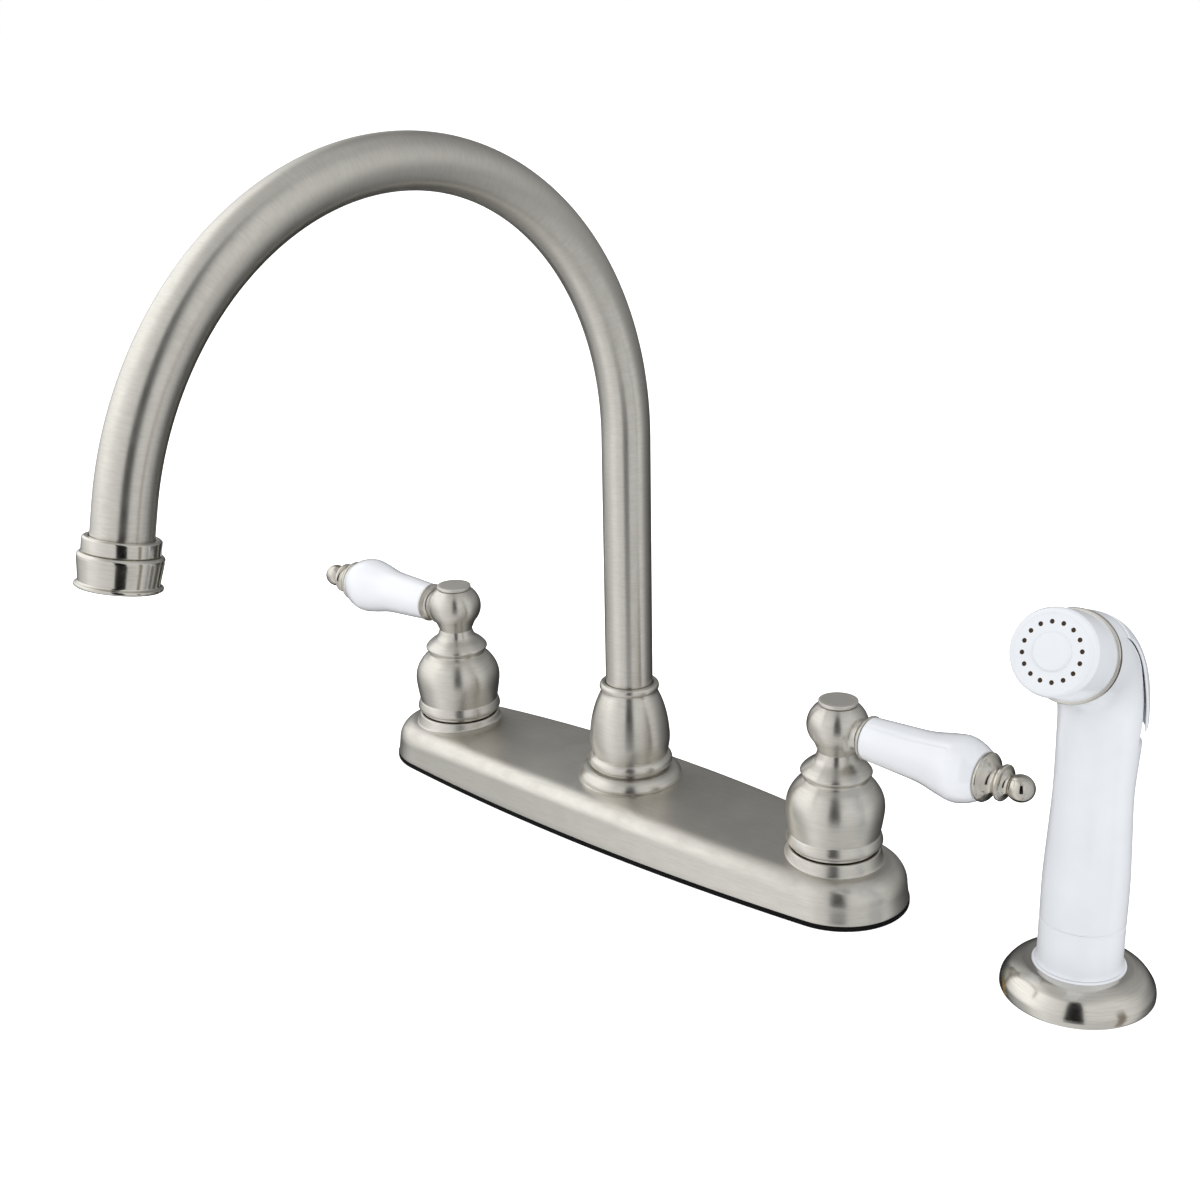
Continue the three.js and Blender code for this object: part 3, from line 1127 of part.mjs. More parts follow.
// Moves a piece that stands on Z to the head, its Z along the nozzle axis.
function intoHead(geometry) {
  return geometry.rotateX(rad(HEAD_TILT)).translate(0, -HEAD_END.forward, HEAD_END.height);
}

const trimRing = () => intoHead(ring(
  NOZZLE_RADIUS - NOZZLE_WALL + 0.2, TRIM_RING_RADIUS, 0.2, 0.2 + TRIM_RING_THICKNESS, 20,
));

const NOZZLE_FOOT = 0.2 + TRIM_RING_THICKNESS + 0.2;

function nozzleCup() {
  const top = NOZZLE_FOOT + NOZZLE_LENGTH;
  const bore = NOZZLE_RADIUS - NOZZLE_WALL;
  const faceSeat = top - FACE_RECESS - FACE_THICKNESS;
  return intoHead(turned([
    [bore, NOZZLE_FOOT], [NOZZLE_ROOT_RADIUS, NOZZLE_FOOT], [NOZZLE_RADIUS, top - NOZZLE_EDGE],
    [NOZZLE_RADIUS - NOZZLE_EDGE * 0.3, top - NOZZLE_EDGE * 0.3], [NOZZLE_RADIUS - NOZZLE_EDGE, top],
    [bore + 0.2, top], [bore + 0.2, faceSeat], [bore - 1, faceSeat], [bore - 1, faceSeat - 1.2],
    [bore, faceSeat - 1.2],
  ], 20));
}

function nozzleFace() {
  const top = NOZZLE_FOOT + NOZZLE_LENGTH - FACE_RECESS;
  const radius = NOZZLE_RADIUS - NOZZLE_WALL - 0.1;
  const low = top - FACE_THICKNESS + 0.1;
  const plate = ring(FACE_PLUG_RADIUS - 2, radius, low, top, 20);
  const jets = [];
  for (let i = 0; i < JET_COUNT; i += 1) {
    const angle = (2 * Math.PI * (i + 0.5)) / JET_COUNT;
    const jet = rod(JET_RADIUS, low - 1, top + 1, 4);
    jets.push(jet.translate(JET_CIRCLE_RADIUS * Math.cos(angle), JET_CIRCLE_RADIUS * Math.sin(angle), 0));
  }
  return intoHead(cut(plate, ...jets));
}

// Button in the middle of the face, with the peg that holds the face on.
function facePlug() {
  const top = NOZZLE_FOOT + NOZZLE_LENGTH - FACE_RECESS;
  return intoHead(turned([
    [0, top - FACE_THICKNESS - 4], [FACE_PLUG_RADIUS - 2 - SLIP, top - FACE_THICKNESS - 4],
    [FACE_PLUG_RADIUS - 2 - SLIP, top + 0.1], [FACE_PLUG_RADIUS, top + 0.1],
    [FACE_PLUG_RADIUS - 0.2, top + 0.6], [FACE_PLUG_RADIUS - 0.8, top + 0.9], [0, top + 0.9],
  ], 12));
}

// Thumb lever on the back of the handset, hung on its pin over the head.
function sprayTrigger() {
  const skin = cut(
    shared(handsetForm(-TRIGGER_PROUD), triggerSlab(0, TRIGGER_HALF_WIDTH)),
    handsetForm(TRIGGER_THICKNESS - TRIGGER_PROUD),
  );
  const eye = pinRod(TRIGGER_EYE_RADIUS, TRIGGER_EYE_HALF_WIDTH);
  const web = new THREE.BoxGeometry(2 * TRIGGER_EYE_HALF_WIDTH, 2 * TRIGGER_EYE_RADIUS, 3.6);
  web.translate(0, 0, 1.8).rotateX(-rad(90 - TRIGGER_PIN_TILT)).translate(0, PIN_Y, PIN_Z);
  const lever = joined(skin, eye, tidied(web));
  return cut(lever, pinRod(TRIGGER_PIN_RADIUS + RUNNING, HEAD_RADIUS + 4));
}

function plunger() {
  // the skin comes down by this much as the trigger is pressed, and it leans forwards above
  const skinDrop = rad(TRIGGER_SWING) * (GRIP_SWELL_DEPTH - PIN_Y);
  const touch = PLUNGER_HEIGHT + PLUNGER_RADIUS + skinDrop;
  return plungerRod(PLUNGER_RADIUS, 0, backAt(touch, TRIGGER_THICKNESS - TRIGGER_PROUD) - SLIP);
}

// ---------------------------------------------------------------- the whole faucet

const group = new THREE.Group();

add(group, 'deck_plate', deckPlate(), brushedNickel());
add(group, 'base_gasket', baseGasket(), rubber());

for (const [prefix, x, side, yaw] of [
  ['hot', -HOLE_PITCH, 1, 180 + LEVER_YAW],
  ['cold', HOLE_PITCH, -1, -LEVER_YAW],
]) {
  const valve = new THREE.Group();
  valve.position.x = x;
  group.add(valve);
  add(valve, `${prefix}_shank`, shank(), brass());
  add(valve, `${prefix}_valve_body`, valveBody(side), brass());
  add(valve, `${prefix}_cartridge`, cartridge(side), acetal());
  add(valve, `${prefix}_bonnet_nut`, bonnetNut(), brass());
  add(valve, `${prefix}_mixing_tube`, mixingTube(side), copper());
  add(valve, `${prefix}_mount_washer`, mountWasher(), steel());
  add(valve, `${prefix}_mount_nut`, mountNut(), brass());
  group.add(handle(prefix, x, yaw));
}

add(group, 'centre_body', centreBody(), brass());
add(group, 'diverter_valve', diverter(), acetal());
add(group, 'spray_outlet_nipple', outletNipple(), brass());
add(group, 'spout_urn', spoutUrn(), brushedNickel());
add(group, 'spout_bushing', spoutBushing(), acetal());
add(group, 'spout_spigot', spoutSpigot(), brass());
add(group, 'spout_o_ring_lower', oRing(O_RING_HEIGHTS.lower), rubber());
add(group, 'spout_o_ring_upper', oRing(O_RING_HEIGHTS.upper), rubber());
add(group, 'spout_tube', spoutTube(), brushedNickel());

const outlet = new THREE.Group();
const bendEnd = rad(BEND_DEGREES);
outlet.position.set(
  0,
  BEND_RADIUS * (Math.cos(bendEnd) - 1) - OUTLET_LEG * Math.sin(bendEnd),
  RISER_TOP + BEND_RADIUS * Math.sin(bendEnd) + OUTLET_LEG * Math.cos(bendEnd),
);
outlet.rotation.x = bendEnd - Math.PI;
group.add(outlet);
add(outlet, 'outlet_collar', outletCollar(), brushedNickel());
add(outlet, 'aerator_housing', aeratorHousing(), brushedNickel());
add(outlet, 'aerator_insert', aeratorInsert(), acetal());
add(outlet, 'aerator_washer', aeratorWasher(), rubber());

const holder = new THREE.Group();
holder.position.x = SPRAY_X;
group.add(holder);
add(holder, 'spray_escutcheon', sprayEscutcheon(), polishedNickel());
add(holder, 'spray_guide', sprayGuide(), whitePlastic());
add(holder, 'spray_guide_nut', guideNut(), whitePlastic());
add(holder, 'spray_base_sleeve', baseSleeve(), whitePlastic());
add(holder, 'spray_hose_coupling', hoseCoupling(), brass());

const spray = new THREE.Group();
spray.position.x = SPRAY_X;
spray.rotation.z = rad(SPRAY_YAW);
group.add(spray);
add(spray, 'spray_shell', handsetShell(), whitePlastic());
add(spray, 'spray_trim_ring', trimRing(), brushedNickel());
add(spray, 'spray_nozzle', nozzleCup(), whitePlastic());
add(spray, 'spray_face', nozzleFace(), whitePlastic());
add(spray, 'spray_face_plug', facePlug(), whitePlastic());
add(spray, 'spray_trigger', sprayTrigger(), whitePlastic());
add(spray, 'trigger_pin', pinRod(TRIGGER_PIN_RADIUS, TRIGGER_EYE_HALF_WIDTH + 4), steel());
add(spray, 'trigger_plunger', plunger(), acetal());

export default group;
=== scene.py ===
"""Two-handle kitchen faucet with a gooseneck spout and a side spray, dressed round its CAD frame."""

import functools
import json
import math

import bmesh
import bpy
import numpy as np
from mathutils import Matrix, Vector, geometry


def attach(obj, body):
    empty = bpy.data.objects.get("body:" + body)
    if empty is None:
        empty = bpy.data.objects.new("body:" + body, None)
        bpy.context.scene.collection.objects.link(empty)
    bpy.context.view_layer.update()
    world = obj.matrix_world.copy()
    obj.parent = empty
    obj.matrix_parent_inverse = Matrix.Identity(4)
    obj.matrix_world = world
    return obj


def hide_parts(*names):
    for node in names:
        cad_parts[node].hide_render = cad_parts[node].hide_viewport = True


bl_info = {
    "name": "Kitchen faucet with side spray",
    "version": (1, 0, 0),
    "blender": (4, 5, 0),
    "location": "3D View > Sidebar > Faucet",
    "description": "Builds the visible pieces of a two-handle kitchen faucet round its CAD frame",
    "category": "Object",
}

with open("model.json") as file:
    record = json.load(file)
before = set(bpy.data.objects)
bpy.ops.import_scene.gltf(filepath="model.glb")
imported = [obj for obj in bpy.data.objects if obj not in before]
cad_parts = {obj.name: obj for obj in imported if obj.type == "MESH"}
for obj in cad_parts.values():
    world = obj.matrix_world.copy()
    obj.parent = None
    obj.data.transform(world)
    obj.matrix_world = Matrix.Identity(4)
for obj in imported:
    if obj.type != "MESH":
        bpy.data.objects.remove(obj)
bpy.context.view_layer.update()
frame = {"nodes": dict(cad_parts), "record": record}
SLOTS = {entry["node"]: entry["material_slot"] for entry in frame["record"]["subparts"]}
BODIES = {node: body for body, nodes in frame["record"]["behaviour"]["bodies"].items() for node in nodes}

# lengths are in millimetres and angles in degrees unless a name or comment says otherwise
MM = 0.001
UV = "UVMap"
PITCH = 101.6
SPRAY_X = 2 * PITCH
SPRAY_YAW = 7.2
HEAD_TILT = 68.0
PLINTH_TOP = 21.2
LEVER_HEIGHT, LEVER_YAW = 69.0, 2.0
HANDLES = (("hot", -1), ("cold", 1))

# ---------------------------------------------------------------- sizes and colours


def number(name, description, default):
    return bpy.props.IntProperty(name=name, description=description, default=default, min=1, max=256)


def length(name, description, default):
    return bpy.props.FloatProperty(name=name, description=description, default=default, unit="LENGTH")


def colour(name, description, default):
    return bpy.props.FloatVectorProperty(
        name=name, description=description, default=(*default, 1.0), size=4, subtype="COLOR",
        min=0.0, max=1.0)


class FaucetSizes(bpy.types.PropertyGroup):
    """Sizes of the faucet that its pieces are made from"""

    sides: number("Sides", "Faces round a middle-sized turned piece", 96)
    plate_half_width: length("Plate half width", "Half the width of the base plate at its middle", 0.0317)
    plate_end_radius: length("Plate end radius", "Radius of the round ends of the base plate", 0.0261)
    plate_end_place: length("Plate end place", "Distance from the spout to the centre of a round end", 0.1046)
    plate_top: length("Plate height", "Height of the plate's top at its middle", 0.0202)
    tube_radius: length("Spout radius", "Outer radius of the spout tube", 0.0095)
    tube_wall: length("Spout wall", "Wall of the spout tube", 0.001)
    riser_top: length("Riser top", "Height at which the bend of the spout starts", 0.163)
    bend_radius: length("Bend radius", "Radius of the spout's bend, to its centre line", 0.1127)
    bend_angle: bpy.props.FloatProperty(
        name="Bend angle", description="Angle through which the spout is bent",
        default=math.radians(168), subtype="ANGLE")
    jets: number("Jets", "Holes in the face of the side spray", 16)
    jet_radius: length("Jet radius", "Radius of a hole in the face of the side spray", 0.00075)
    jet_circle: length("Jet circle", "Radius of the circle on which the holes lie", 0.0091)
    thread_pitch: length("Thread pitch", "Pitch of the threads below the deck", 0.0018)


class FaucetColours(bpy.types.PropertyGroup):
    """Colours of the faucet's finishes"""

    nickel: colour("Satin nickel", "Brushed nickel of the plate, hubs and spout", (0.70, 0.68, 0.632))
    nickel_dark: colour("Satin nickel, dark", "Colour in the brushed lines", (0.59, 0.568, 0.518))
    polished: colour("Polished nickel", "Nickel of the finials", (0.64, 0.61, 0.55))
    polished_dark: colour("Polished nickel, dark", "Nickel in its fine lines", (0.56, 0.53, 0.47))
    cap: colour("Cap nickel", "Blasted nickel of the flat caps", (0.86, 0.83, 0.78))
    porcelain: colour("Porcelain", "Glaze of the lever grips", (0.88, 0.90, 0.935))
    porcelain_dark: colour("Porcelain, deep", "Clay that shows through the glaze", (0.83, 0.85, 0.895))
    plastic: colour("White plastic", "Plastic of the side spray", (0.80, 0.825, 0.865))
    plastic_dark: colour("White plastic, flow lines", "Faint clouds in it", (0.765, 0.79, 0.83))
    speck: colour("Specks", "Fine specks in the glaze and the plastic", (0.35, 0.33, 0.30))
    rubber: colour("Rubber", "Gasket and seals", (0.005, 0.005, 0.0055))
    jet_rubber: colour("Jet rubber", "Brown rubber behind the jets", (0.075, 0.05, 0.028))
    brass: colour("Brass", "Valves, shanks and nuts", (0.62, 0.44, 0.17))
    copper: colour("Copper", "Mixing tubes", (0.66, 0.32, 0.17))
    steel: colour("Steel", "Washers, screws, studs and pins", (0.52, 0.53, 0.54))
    acetal: colour("Acetal", "Cartridges, bushing and diverter", (0.74, 0.72, 0.66))
    floor: colour("Floor", "Floor and backdrop", (0.95, 0.95, 0.95))


def sizes():
    return bpy.context.scene.faucet_sizes


def colours():
    return bpy.context.scene.faucet_colours


# ---------------------------------------------------------------- node helpers


def feed(tree, node, inputs):
    """Links a socket to each named input, or gives it a value of its own."""
    for name, value in inputs.items():
        if isinstance(value, bpy.types.NodeSocket):
            tree.links.new(value, node.inputs[name])
        else:
            node.inputs[name].default_value = value


def add_node(tree, kind, inputs=None, **settings):
    node = tree.nodes.new(kind)
    for name, value in settings.items():
        setattr(node, name, value)
    feed(tree, node, inputs or {})
    return node


def socket(tree, name, kind, value=None, out=False):
    way = "OUTPUT" if out else "INPUT"
    made = tree.interface.new_socket(name, in_out=way, socket_type="NodeSocket" + kind)
    if value is not None:
        made.default_value = value
    return made


def calc(tree, operation, *values):
    return add_node(tree, "ShaderNodeMath", dict(enumerate(values)), operation=operation).outputs[0]


def combine(tree, **parts):
    return add_node(tree, "ShaderNodeCombineXYZ", parts).outputs[0]


def separate(tree, vector):
    return add_node(tree, "ShaderNodeSeparateXYZ", {"Vector": vector}).outputs


def noise(tree, place, scale, detail, roughness=0.5, distortion=0.0):
    return add_node(tree, "ShaderNodeTexNoise", {
        "Vector": place, "Scale": scale, "Detail": detail, "Roughness": roughness,
        "Distortion": distortion}).outputs["Fac"]


def mix_colour(tree, share, one, two):
    factor, first, second, result = 0, 6, 7, 2
    inputs = {factor: share, first: one, second: two}
    return add_node(tree, "ShaderNodeMix", inputs, data_type="RGBA").outputs[result]


def remap(tree, value, low, high, from_low=0.0, from_high=1.0):
    inputs = {"Value": value, "From Min": from_low, "From Max": from_high, "To Min": low, "To Max": high}
    return add_node(tree, "ShaderNodeMapRange", inputs).outputs["Result"]


def object_place(tree):
    return add_node(tree, "ShaderNodeTexCoord").outputs["Object"]


# ---------------------------------------------------------------- shader groups


def group_tree(name, vector, numbers, outputs):
    """A shader group that takes one vector and some numbers and gives numbers."""
    tree = bpy.data.node_groups.new(name, "ShaderNodeTree")
    socket(tree, vector, "Vector")
    for title, value in numbers.items():
        socket(tree, title, "Float", value)
    for title in outputs:
        socket(tree, title, "Float", out=True)
    return tree, tree.nodes.new("NodeGroupInput").outputs, tree.nodes.new("NodeGroupOutput")


@functools.cache
def brushed_lines():
    """Fine lines that run round a piece along U and vary quickly along V."""
    tree, source, sink = group_tree(
        "Brushed lines", "Surface", {"Lines per metre": 2600.0, "Turns": 2.0, "Broad lines": 0.35},
        ("Lines", "Height"))
    surface = separate(tree, source["Surface"])
    angle = calc(tree, "MULTIPLY", surface["X"], math.tau)
    x = calc(tree, "MULTIPLY", calc(tree, "COSINE", angle), source["Turns"])
    y = calc(tree, "MULTIPLY", calc(tree, "SINE", angle), source["Turns"])
    across = calc(tree, "MULTIPLY", surface["Y"], source["Lines per metre"])
    fine = noise(tree, combine(tree, X=x, Y=y, Z=across), 1.0, 3.0, 0.7)
    broad = noise(tree, combine(tree, X=y, Y=x, Z=calc(tree, "MULTIPLY", across, 0.09)), 1.3, 2.0)
    wide = calc(tree, "MULTIPLY", calc(tree, "SUBTRACT", broad, 0.5), source["Broad lines"])
    lines = remap(tree, calc(tree, "ADD", fine, wide), 0.0, 1.0, 0.25, 0.75)
    feed(tree, sink, {"Lines": lines, "Height": fine})
    return tree


@functools.cache
def handling():
    """Soft clouds and faint smears, as on a piece that has been wiped and handled."""
    tree, source, sink = group_tree(
        "Handling", "Place", {"Cloud scale": 30.0, "Smear scale": 120.0}, ("Clouds", "Smears"))
    clouds = noise(tree, source["Place"], source["Cloud scale"], 2.0)
    smears = noise(tree, source["Place"], source["Smear scale"], 4.0, 0.6, 0.6)
    feed(tree, sink, {"Clouds": remap(tree, clouds, 0.0, 1.0, 0.3, 0.7),
                      "Smears": remap(tree, smears, 0.0, 1.0, 0.45, 0.72)})
    return tree


@functools.cache
def sparse_specks():
    """Sparse fine specks, as of dust in a glaze or a moulding."""
    tree, source, sink = group_tree("Specks", "Place", {"Scale": 700.0, "Share": 0.05}, ("Specks",))
    cells = add_node(tree, "ShaderNodeTexVoronoi", {"Vector": source["Place"], "Scale": source["Scale"]})
    feed(tree, sink, {"Specks": calc(tree, "LESS_THAN", cells.outputs["Distance"], source["Share"])})
    return tree


@functools.cache
def stock_surface():
    """Small-scale roughness of moulded, cast or machined stock, with rings round Z."""
    tree, source, sink = group_tree(
        "Stock surface", "Place", {"Scale": 900.0, "Rings per metre": 1200.0}, ("Grain", "Rings"))
    grain = noise(tree, source["Place"], source["Scale"], 4.0, 0.65)
    along = calc(tree, "MULTIPLY", separate(tree, source["Place"])["Z"], source["Rings per metre"])
    feed(tree, sink, {"Grain": grain, "Rings": noise(tree, combine(tree, Z=along), 1.0, 2.0)})
    return tree


def shared(tree, group, inputs):
    """Places one of the shared effects in a material, with the material's own values."""
    return add_node(tree, "ShaderNodeGroup", inputs, node_tree=group()).outputs


# ---------------------------------------------------------------- materials


def new_material(name, **values):
    """A material whose constants are set on the Principled shader's own sockets."""
    material = bpy.data.materials.new(name)
    material.use_nodes = True
    shader = material.node_tree.nodes["Principled BSDF"]
    feed(material.node_tree, shader, {title.replace("_", " "): value for title, value in values.items()})
    return material, material.node_tree, shader


def bump(tree, height, strength, depth):
    node = add_node(tree, "ShaderNodeBump", {"Strength": strength, "Distance": depth * MM, "Height": height})
    return node.outputs["Normal"]


def shades(name):
    return getattr(colours(), name), getattr(colours(), name + "_dark")


def brushed_metal(name, colour, rough, stretch, lines, broad, relief):
    """Metal with lines round the piece, read from its own UV map."""
    material, tree, shader = new_material(name, Metallic=1.0, Anisotropic=stretch, Anisotropic_Rotation=0.25)
    surface = add_node(tree, "ShaderNodeUVMap", uv_map=UV).outputs["UV"]
    grain = shared(tree, brushed_lines, {"Surface": surface, "Lines per metre": lines, "Broad lines": broad})
    handled = shared(tree, handling, {"Place": object_place(tree)})
    roughness = remap(tree, grain["Lines"], *rough)
    for title, weight in (("Clouds", 0.03), ("Smears", 0.025)):
        roughness = calc(tree, "ADD", roughness, calc(tree, "MULTIPLY", handled[title], weight))
    tangent = add_node(tree, "ShaderNodeTangent", direction_type="UV_MAP", uv_map=UV).outputs["Tangent"]
    feed(tree, shader, {
        "Base Color": mix_colour(tree, calc(tree, "MULTIPLY", grain["Lines"], 0.8), *shades(colour)),
        "Roughness": roughness, "Normal": bump(tree, grain["Height"], relief, 0.04), "Tangent": tangent})
    return material


def pale_gloss(name, colour, rough, coat, clouds, wave):
    """Glaze or glossy moulding: faint clouds, sparse specks, a slightly wavy skin."""
    material, tree, shader = new_material(name, Coat_Weight=coat, Coat_Roughness=0.04, IOR=1.5)
    place = object_place(tree)
    handled = shared(tree, handling, {"Place": place, "Cloud scale": clouds})
    specks = shared(tree, sparse_specks, {"Place": place})["Specks"]
    clouded = mix_colour(tree, handled["Clouds"], *shades(colour))
    feed(tree, shader, {
        "Base Color": mix_colour(tree, calc(tree, "MULTIPLY", specks, 0.12), clouded, colours().speck),
        "Roughness": remap(tree, handled["Smears"], rough, rough + 0.06),
        "Normal": bump(tree, handled["Clouds"], 0.3, wave)})
    return material


def stock(name, metal, rough, darker, grain, rings, relief, depth=0.05):
    """Rubber, machined metal or moulded stock, read from Object coordinates."""
    material, tree, shader = new_material(name, Metallic=metal, Specular_IOR_Level=0.5 if metal else 0.12)
    place = object_place(tree)
    worn = shared(tree, stock_surface, {"Place": place, "Scale": grain, "Rings per metre": rings})
    handled = shared(tree, handling, {"Place": place})
    light = getattr(colours(), name.removesuffix("_nickel"))
    dark = (*(value * darker for value in light[:3]), 1.0)
    mixed = calc(tree, "MULTIPLY", calc(tree, "ADD", worn["Grain"], handled["Clouds"]), 0.5)
    feed(tree, shader, {
        "Base Color": mix_colour(tree, mixed, light, dark), "Roughness": remap(tree, worn["Rings"], *rough),
        "Normal": bump(tree, calc(tree, "ADD", worn["Grain"], worn["Rings"]), relief, depth)})
    return material


FINISHES = {
    "satin_nickel": (brushed_metal, {
        "colour": "nickel", "rough": (0.27, 0.35), "stretch": 0.75, "lines": 1300.0, "broad": 0.35,
        "relief": 0.10}),
    "half_polished_nickel": (brushed_metal, {
        "colour": "nickel", "rough": (0.13, 0.19), "stretch": 0.55, "lines": 1800.0, "broad": 0.25,
        "relief": 0.04}),
    "polished_nickel": (brushed_metal, {
        "colour": "polished", "rough": (0.09, 0.14), "stretch": 0.3, "lines": 2200.0, "broad": 0.2,
        "relief": 0.03}),
    "porcelain": (pale_gloss, {
        "colour": "porcelain", "rough": 0.12, "coat": 1.0, "clouds": 45.0, "wave": 0.08}),
    "white_plastic": (pale_gloss, {
        "colour": "plastic", "rough": 0.28, "coat": 0.25, "clouds": 60.0, "wave": 0.05}),
    "cap_nickel": (stock, {
        "metal": 1.0, "rough": (0.44, 0.54), "darker": 0.82, "grain": 1400.0, "rings": 60.0, "relief": 0.22,
        "depth": 0.06}),
    "rubber": (stock, {"metal": 0.0, "rough": (0.62, 0.85), "darker": 0.5, "grain": 1500.0, "rings": 200.0,
                       "relief": 0.3, "depth": 0.1}),
    "jet_rubber": (stock, {"metal": 0.0, "rough": (0.45, 0.6), "darker": 0.6, "grain": 1500.0, "rings": 200.0,
                           "relief": 0.3, "depth": 0.1}),
    "brass": (stock, {"metal": 1.0, "rough": (0.22, 0.42), "darker": 0.8, "grain": 300.0, "rings": 1500.0,
                      "relief": 0.15}),
    "copper": (stock, {"metal": 1.0, "rough": (0.2, 0.38), "darker": 0.7, "grain": 200.0, "rings": 500.0,
                       "relief": 0.1}),
    "steel": (stock, {"metal": 1.0, "rough": (0.22, 0.4), "darker": 0.8, "grain": 500.0, "rings": 1200.0,
                      "relief": 0.15}),
    "acetal": (stock, {"metal": 0.0, "rough": (0.4, 0.55), "darker": 0.93, "grain": 700.0, "rings": 800.0,
                       "relief": 0.15}),
}


@functools.cache
def finish(name):
    maker, values = FINISHES[name]
    return maker(name, **values)




# ---------------------------------------------------------------- outlines of turned pieces


def curve(points, steps):
    """Points of a smooth curve through the given ones, which may have any number of values."""
    made, last = [], len(points) - 1
    for step in range(steps + 1):
        place = last * step / steps
        index = min(int(place), last - 1)
        t = place - index
        p0, p1, p2, p3 = (np.array(points[min(max(k, 0), last)], float) for k in range(index - 1, index + 3))
        v0, v1 = (p2 - p0) / 2, (p3 - p1) / 2
        at = (2 * p1 - 2 * p2 + v0 + v1) * t**3 + (3 * p2 - 3 * p1 - 2 * v0 - v1) * t**2 + v0 * t + p1
        made.append(tuple(at))
    return made


def arc(centre, across, up, low, high, steps):
    """Points of an arc in the outline's plane, its angles in degrees from straight out."""
    angles = [math.radians(low + (high - low) * k / steps) for k in range(steps + 1)]
    return [(centre[0] + across * math.cos(a), centre[1] + up * math.sin(a)) for a in angles]


CORNER_SHARE = 0.48


def rounded(points, closed):
    """The outline with each corner that has a third number rounded to about that radius."""
    made, count = [], len(points)
    for k, point in enumerate(points):
        here = Vector(point[:2])
        if len(point) < 3 or (not closed and k in (0, count - 1)):
            made.append(tuple(here))
            continue
        before = Vector(points[k - 1][:2]) - here
        after = Vector(points[(k + 1) % count][:2]) - here
        half = before.angle(after) / 2
        reach = min(point[2] / math.tan(half), CORNER_SHARE * before.length, CORNER_SHARE * after.length)
        one, two = here + before.normalized() * reach, here + after.normalized() * reach
        for t in (0.0, 0.25, 0.5, 0.75, 1.0):
            made.append(tuple(one * (1 - t) ** 2 + here * (2 * t * (1 - t)) + two * t**2))
    return made


# ---------------------------------------------------------------- objects and meshes


def move(x=0.0, y=0.0, z=0.0):
    return Matrix.Translation(Vector((x, y, z)) * MM)


def turn(degrees, axis):
    return Matrix.Rotation(math.radians(degrees), 4, axis)


def linked(name, data):
    """A new object in the scene."""
    made = bpy.data.objects.new(name, data)
    bpy.context.scene.collection.objects.link(made)
    return made


def baked(piece):
    """The plain mesh that an object's modifiers make; the object itself goes."""
    graph = bpy.context.evaluated_depsgraph_get()
    mesh = bpy.data.meshes.new_from_object(piece.evaluated_get(graph), depsgraph=graph)
    bpy.data.objects.remove(piece)
    return mesh


def outwards(mesh):
    """Merges doubles and turns every face of a closed mesh outwards."""
    work = bmesh.new()
    work.from_mesh(mesh)
    bmesh.ops.remove_doubles(work, verts=work.verts, dist=1e-6)
    bmesh.ops.dissolve_degenerate(work, edges=work.edges, dist=1e-7)
    bmesh.ops.recalc_face_normals(work, faces=work.faces)
    work.to_mesh(mesh)
    work.free()


def joined_mesh(meshes):
    """One mesh from several, each already in its place."""
    work = bmesh.new()
    for mesh in meshes:
        work.from_mesh(mesh)
    whole = bpy.data.meshes.new("joined")
    work.to_mesh(whole)
    work.free()
    for material in meshes[0].materials:
        whole.materials.append(material)
    return whole


def place_piece(name, mesh, node, where=None, angle=35.0, replaces=True, slot=None):
    """Makes a piece of a finished mesh; it rides with a node, which it replaces unless told not to."""
    if where:
        mesh.transform(where)
    mesh.name = name
    mesh.polygons.foreach_set("use_smooth", np.ones(len(mesh.polygons), bool))
    mesh.set_sharp_from_angle(angle=math.radians(angle))
    piece = linked(name, mesh)
    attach(piece, BODIES[node])
    if replaces:
        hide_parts(node)


# share of a hole's radius that the middle of a face beside it can come down to
CHORD = 0.9985


class MeshWriter:
    """Collects points and faces in millimetres and closes strips between rings."""

    def __init__(self):
        self.points, self.faces = [], []

    def ring(self, points, height=None):
        """Adds a ring of points; flat ones get a height, or that of a function of their place."""
        start = len(self.points)
        if height is not None:
            points = [(x, y, height(x, y) if callable(height) else height) for x, y in points]
        self.points += points
        return list(range(start, len(self.points)))

    def strips(self, *rings):
        """Closes the strip between each ring and the next."""
        for one, two in zip(rings, rings[1:]):
            for k in range(len(one)):
                n = (k + 1) % len(one)
                self.faces.append((one[k], one[n], two[n], two[k]))

    def field(self, outer, holes, inner_points, height):
        """Triangles of a height field inside an outline and round holes; gives the rings of both."""
        points, edges, starts = [], [], []
        for loop in (outer, *holes):
            starts.append(len(points))
            edges += [(len(points) + k, len(points) + (k + 1) % len(loop)) for k in range(len(loop))]
            points += [Vector(p) for p in loop]
        points += [Vector(p) for p in inner_points]
        flat, _, faces, origin, _, _ = geometry.delaunay_2d_cdt(points, edges, [], 0, 1e-5)
        centres = [sum((Vector(p) for p in hole), Vector((0.0, 0.0))) / len(hole) for hole in holes]
        radii = [(Vector(hole[0]) - centre).length for hole, centre in zip(holes, centres)]
        first = len(self.points)
        for face in faces:
            middle = sum((flat[k] for k in face), Vector((0.0, 0.0))) / len(face)
            if all((middle - centre).length > radius * CHORD for centre, radius in zip(centres, radii)):
                self.faces.append(tuple(first + k for k in face))
        self.points += [(p.x, p.y, height(p.x, p.y)) for p in flat]
        places = {source: first + index for index, sources in enumerate(origin) for source in sources}
        return [[places[start + k] for k in range(len(loop))] for start, loop in zip(starts, (outer, *holes))]

    def mesh(self, look):
        mesh = bpy.data.meshes.new("written")
        mesh.from_pydata([(x * MM, y * MM, z * MM) for x, y, z in self.points], [], self.faces)
        outwards(mesh)
        mesh.materials.append(finish(look))
        return mesh


# ---------------------------------------------------------------- UV maps


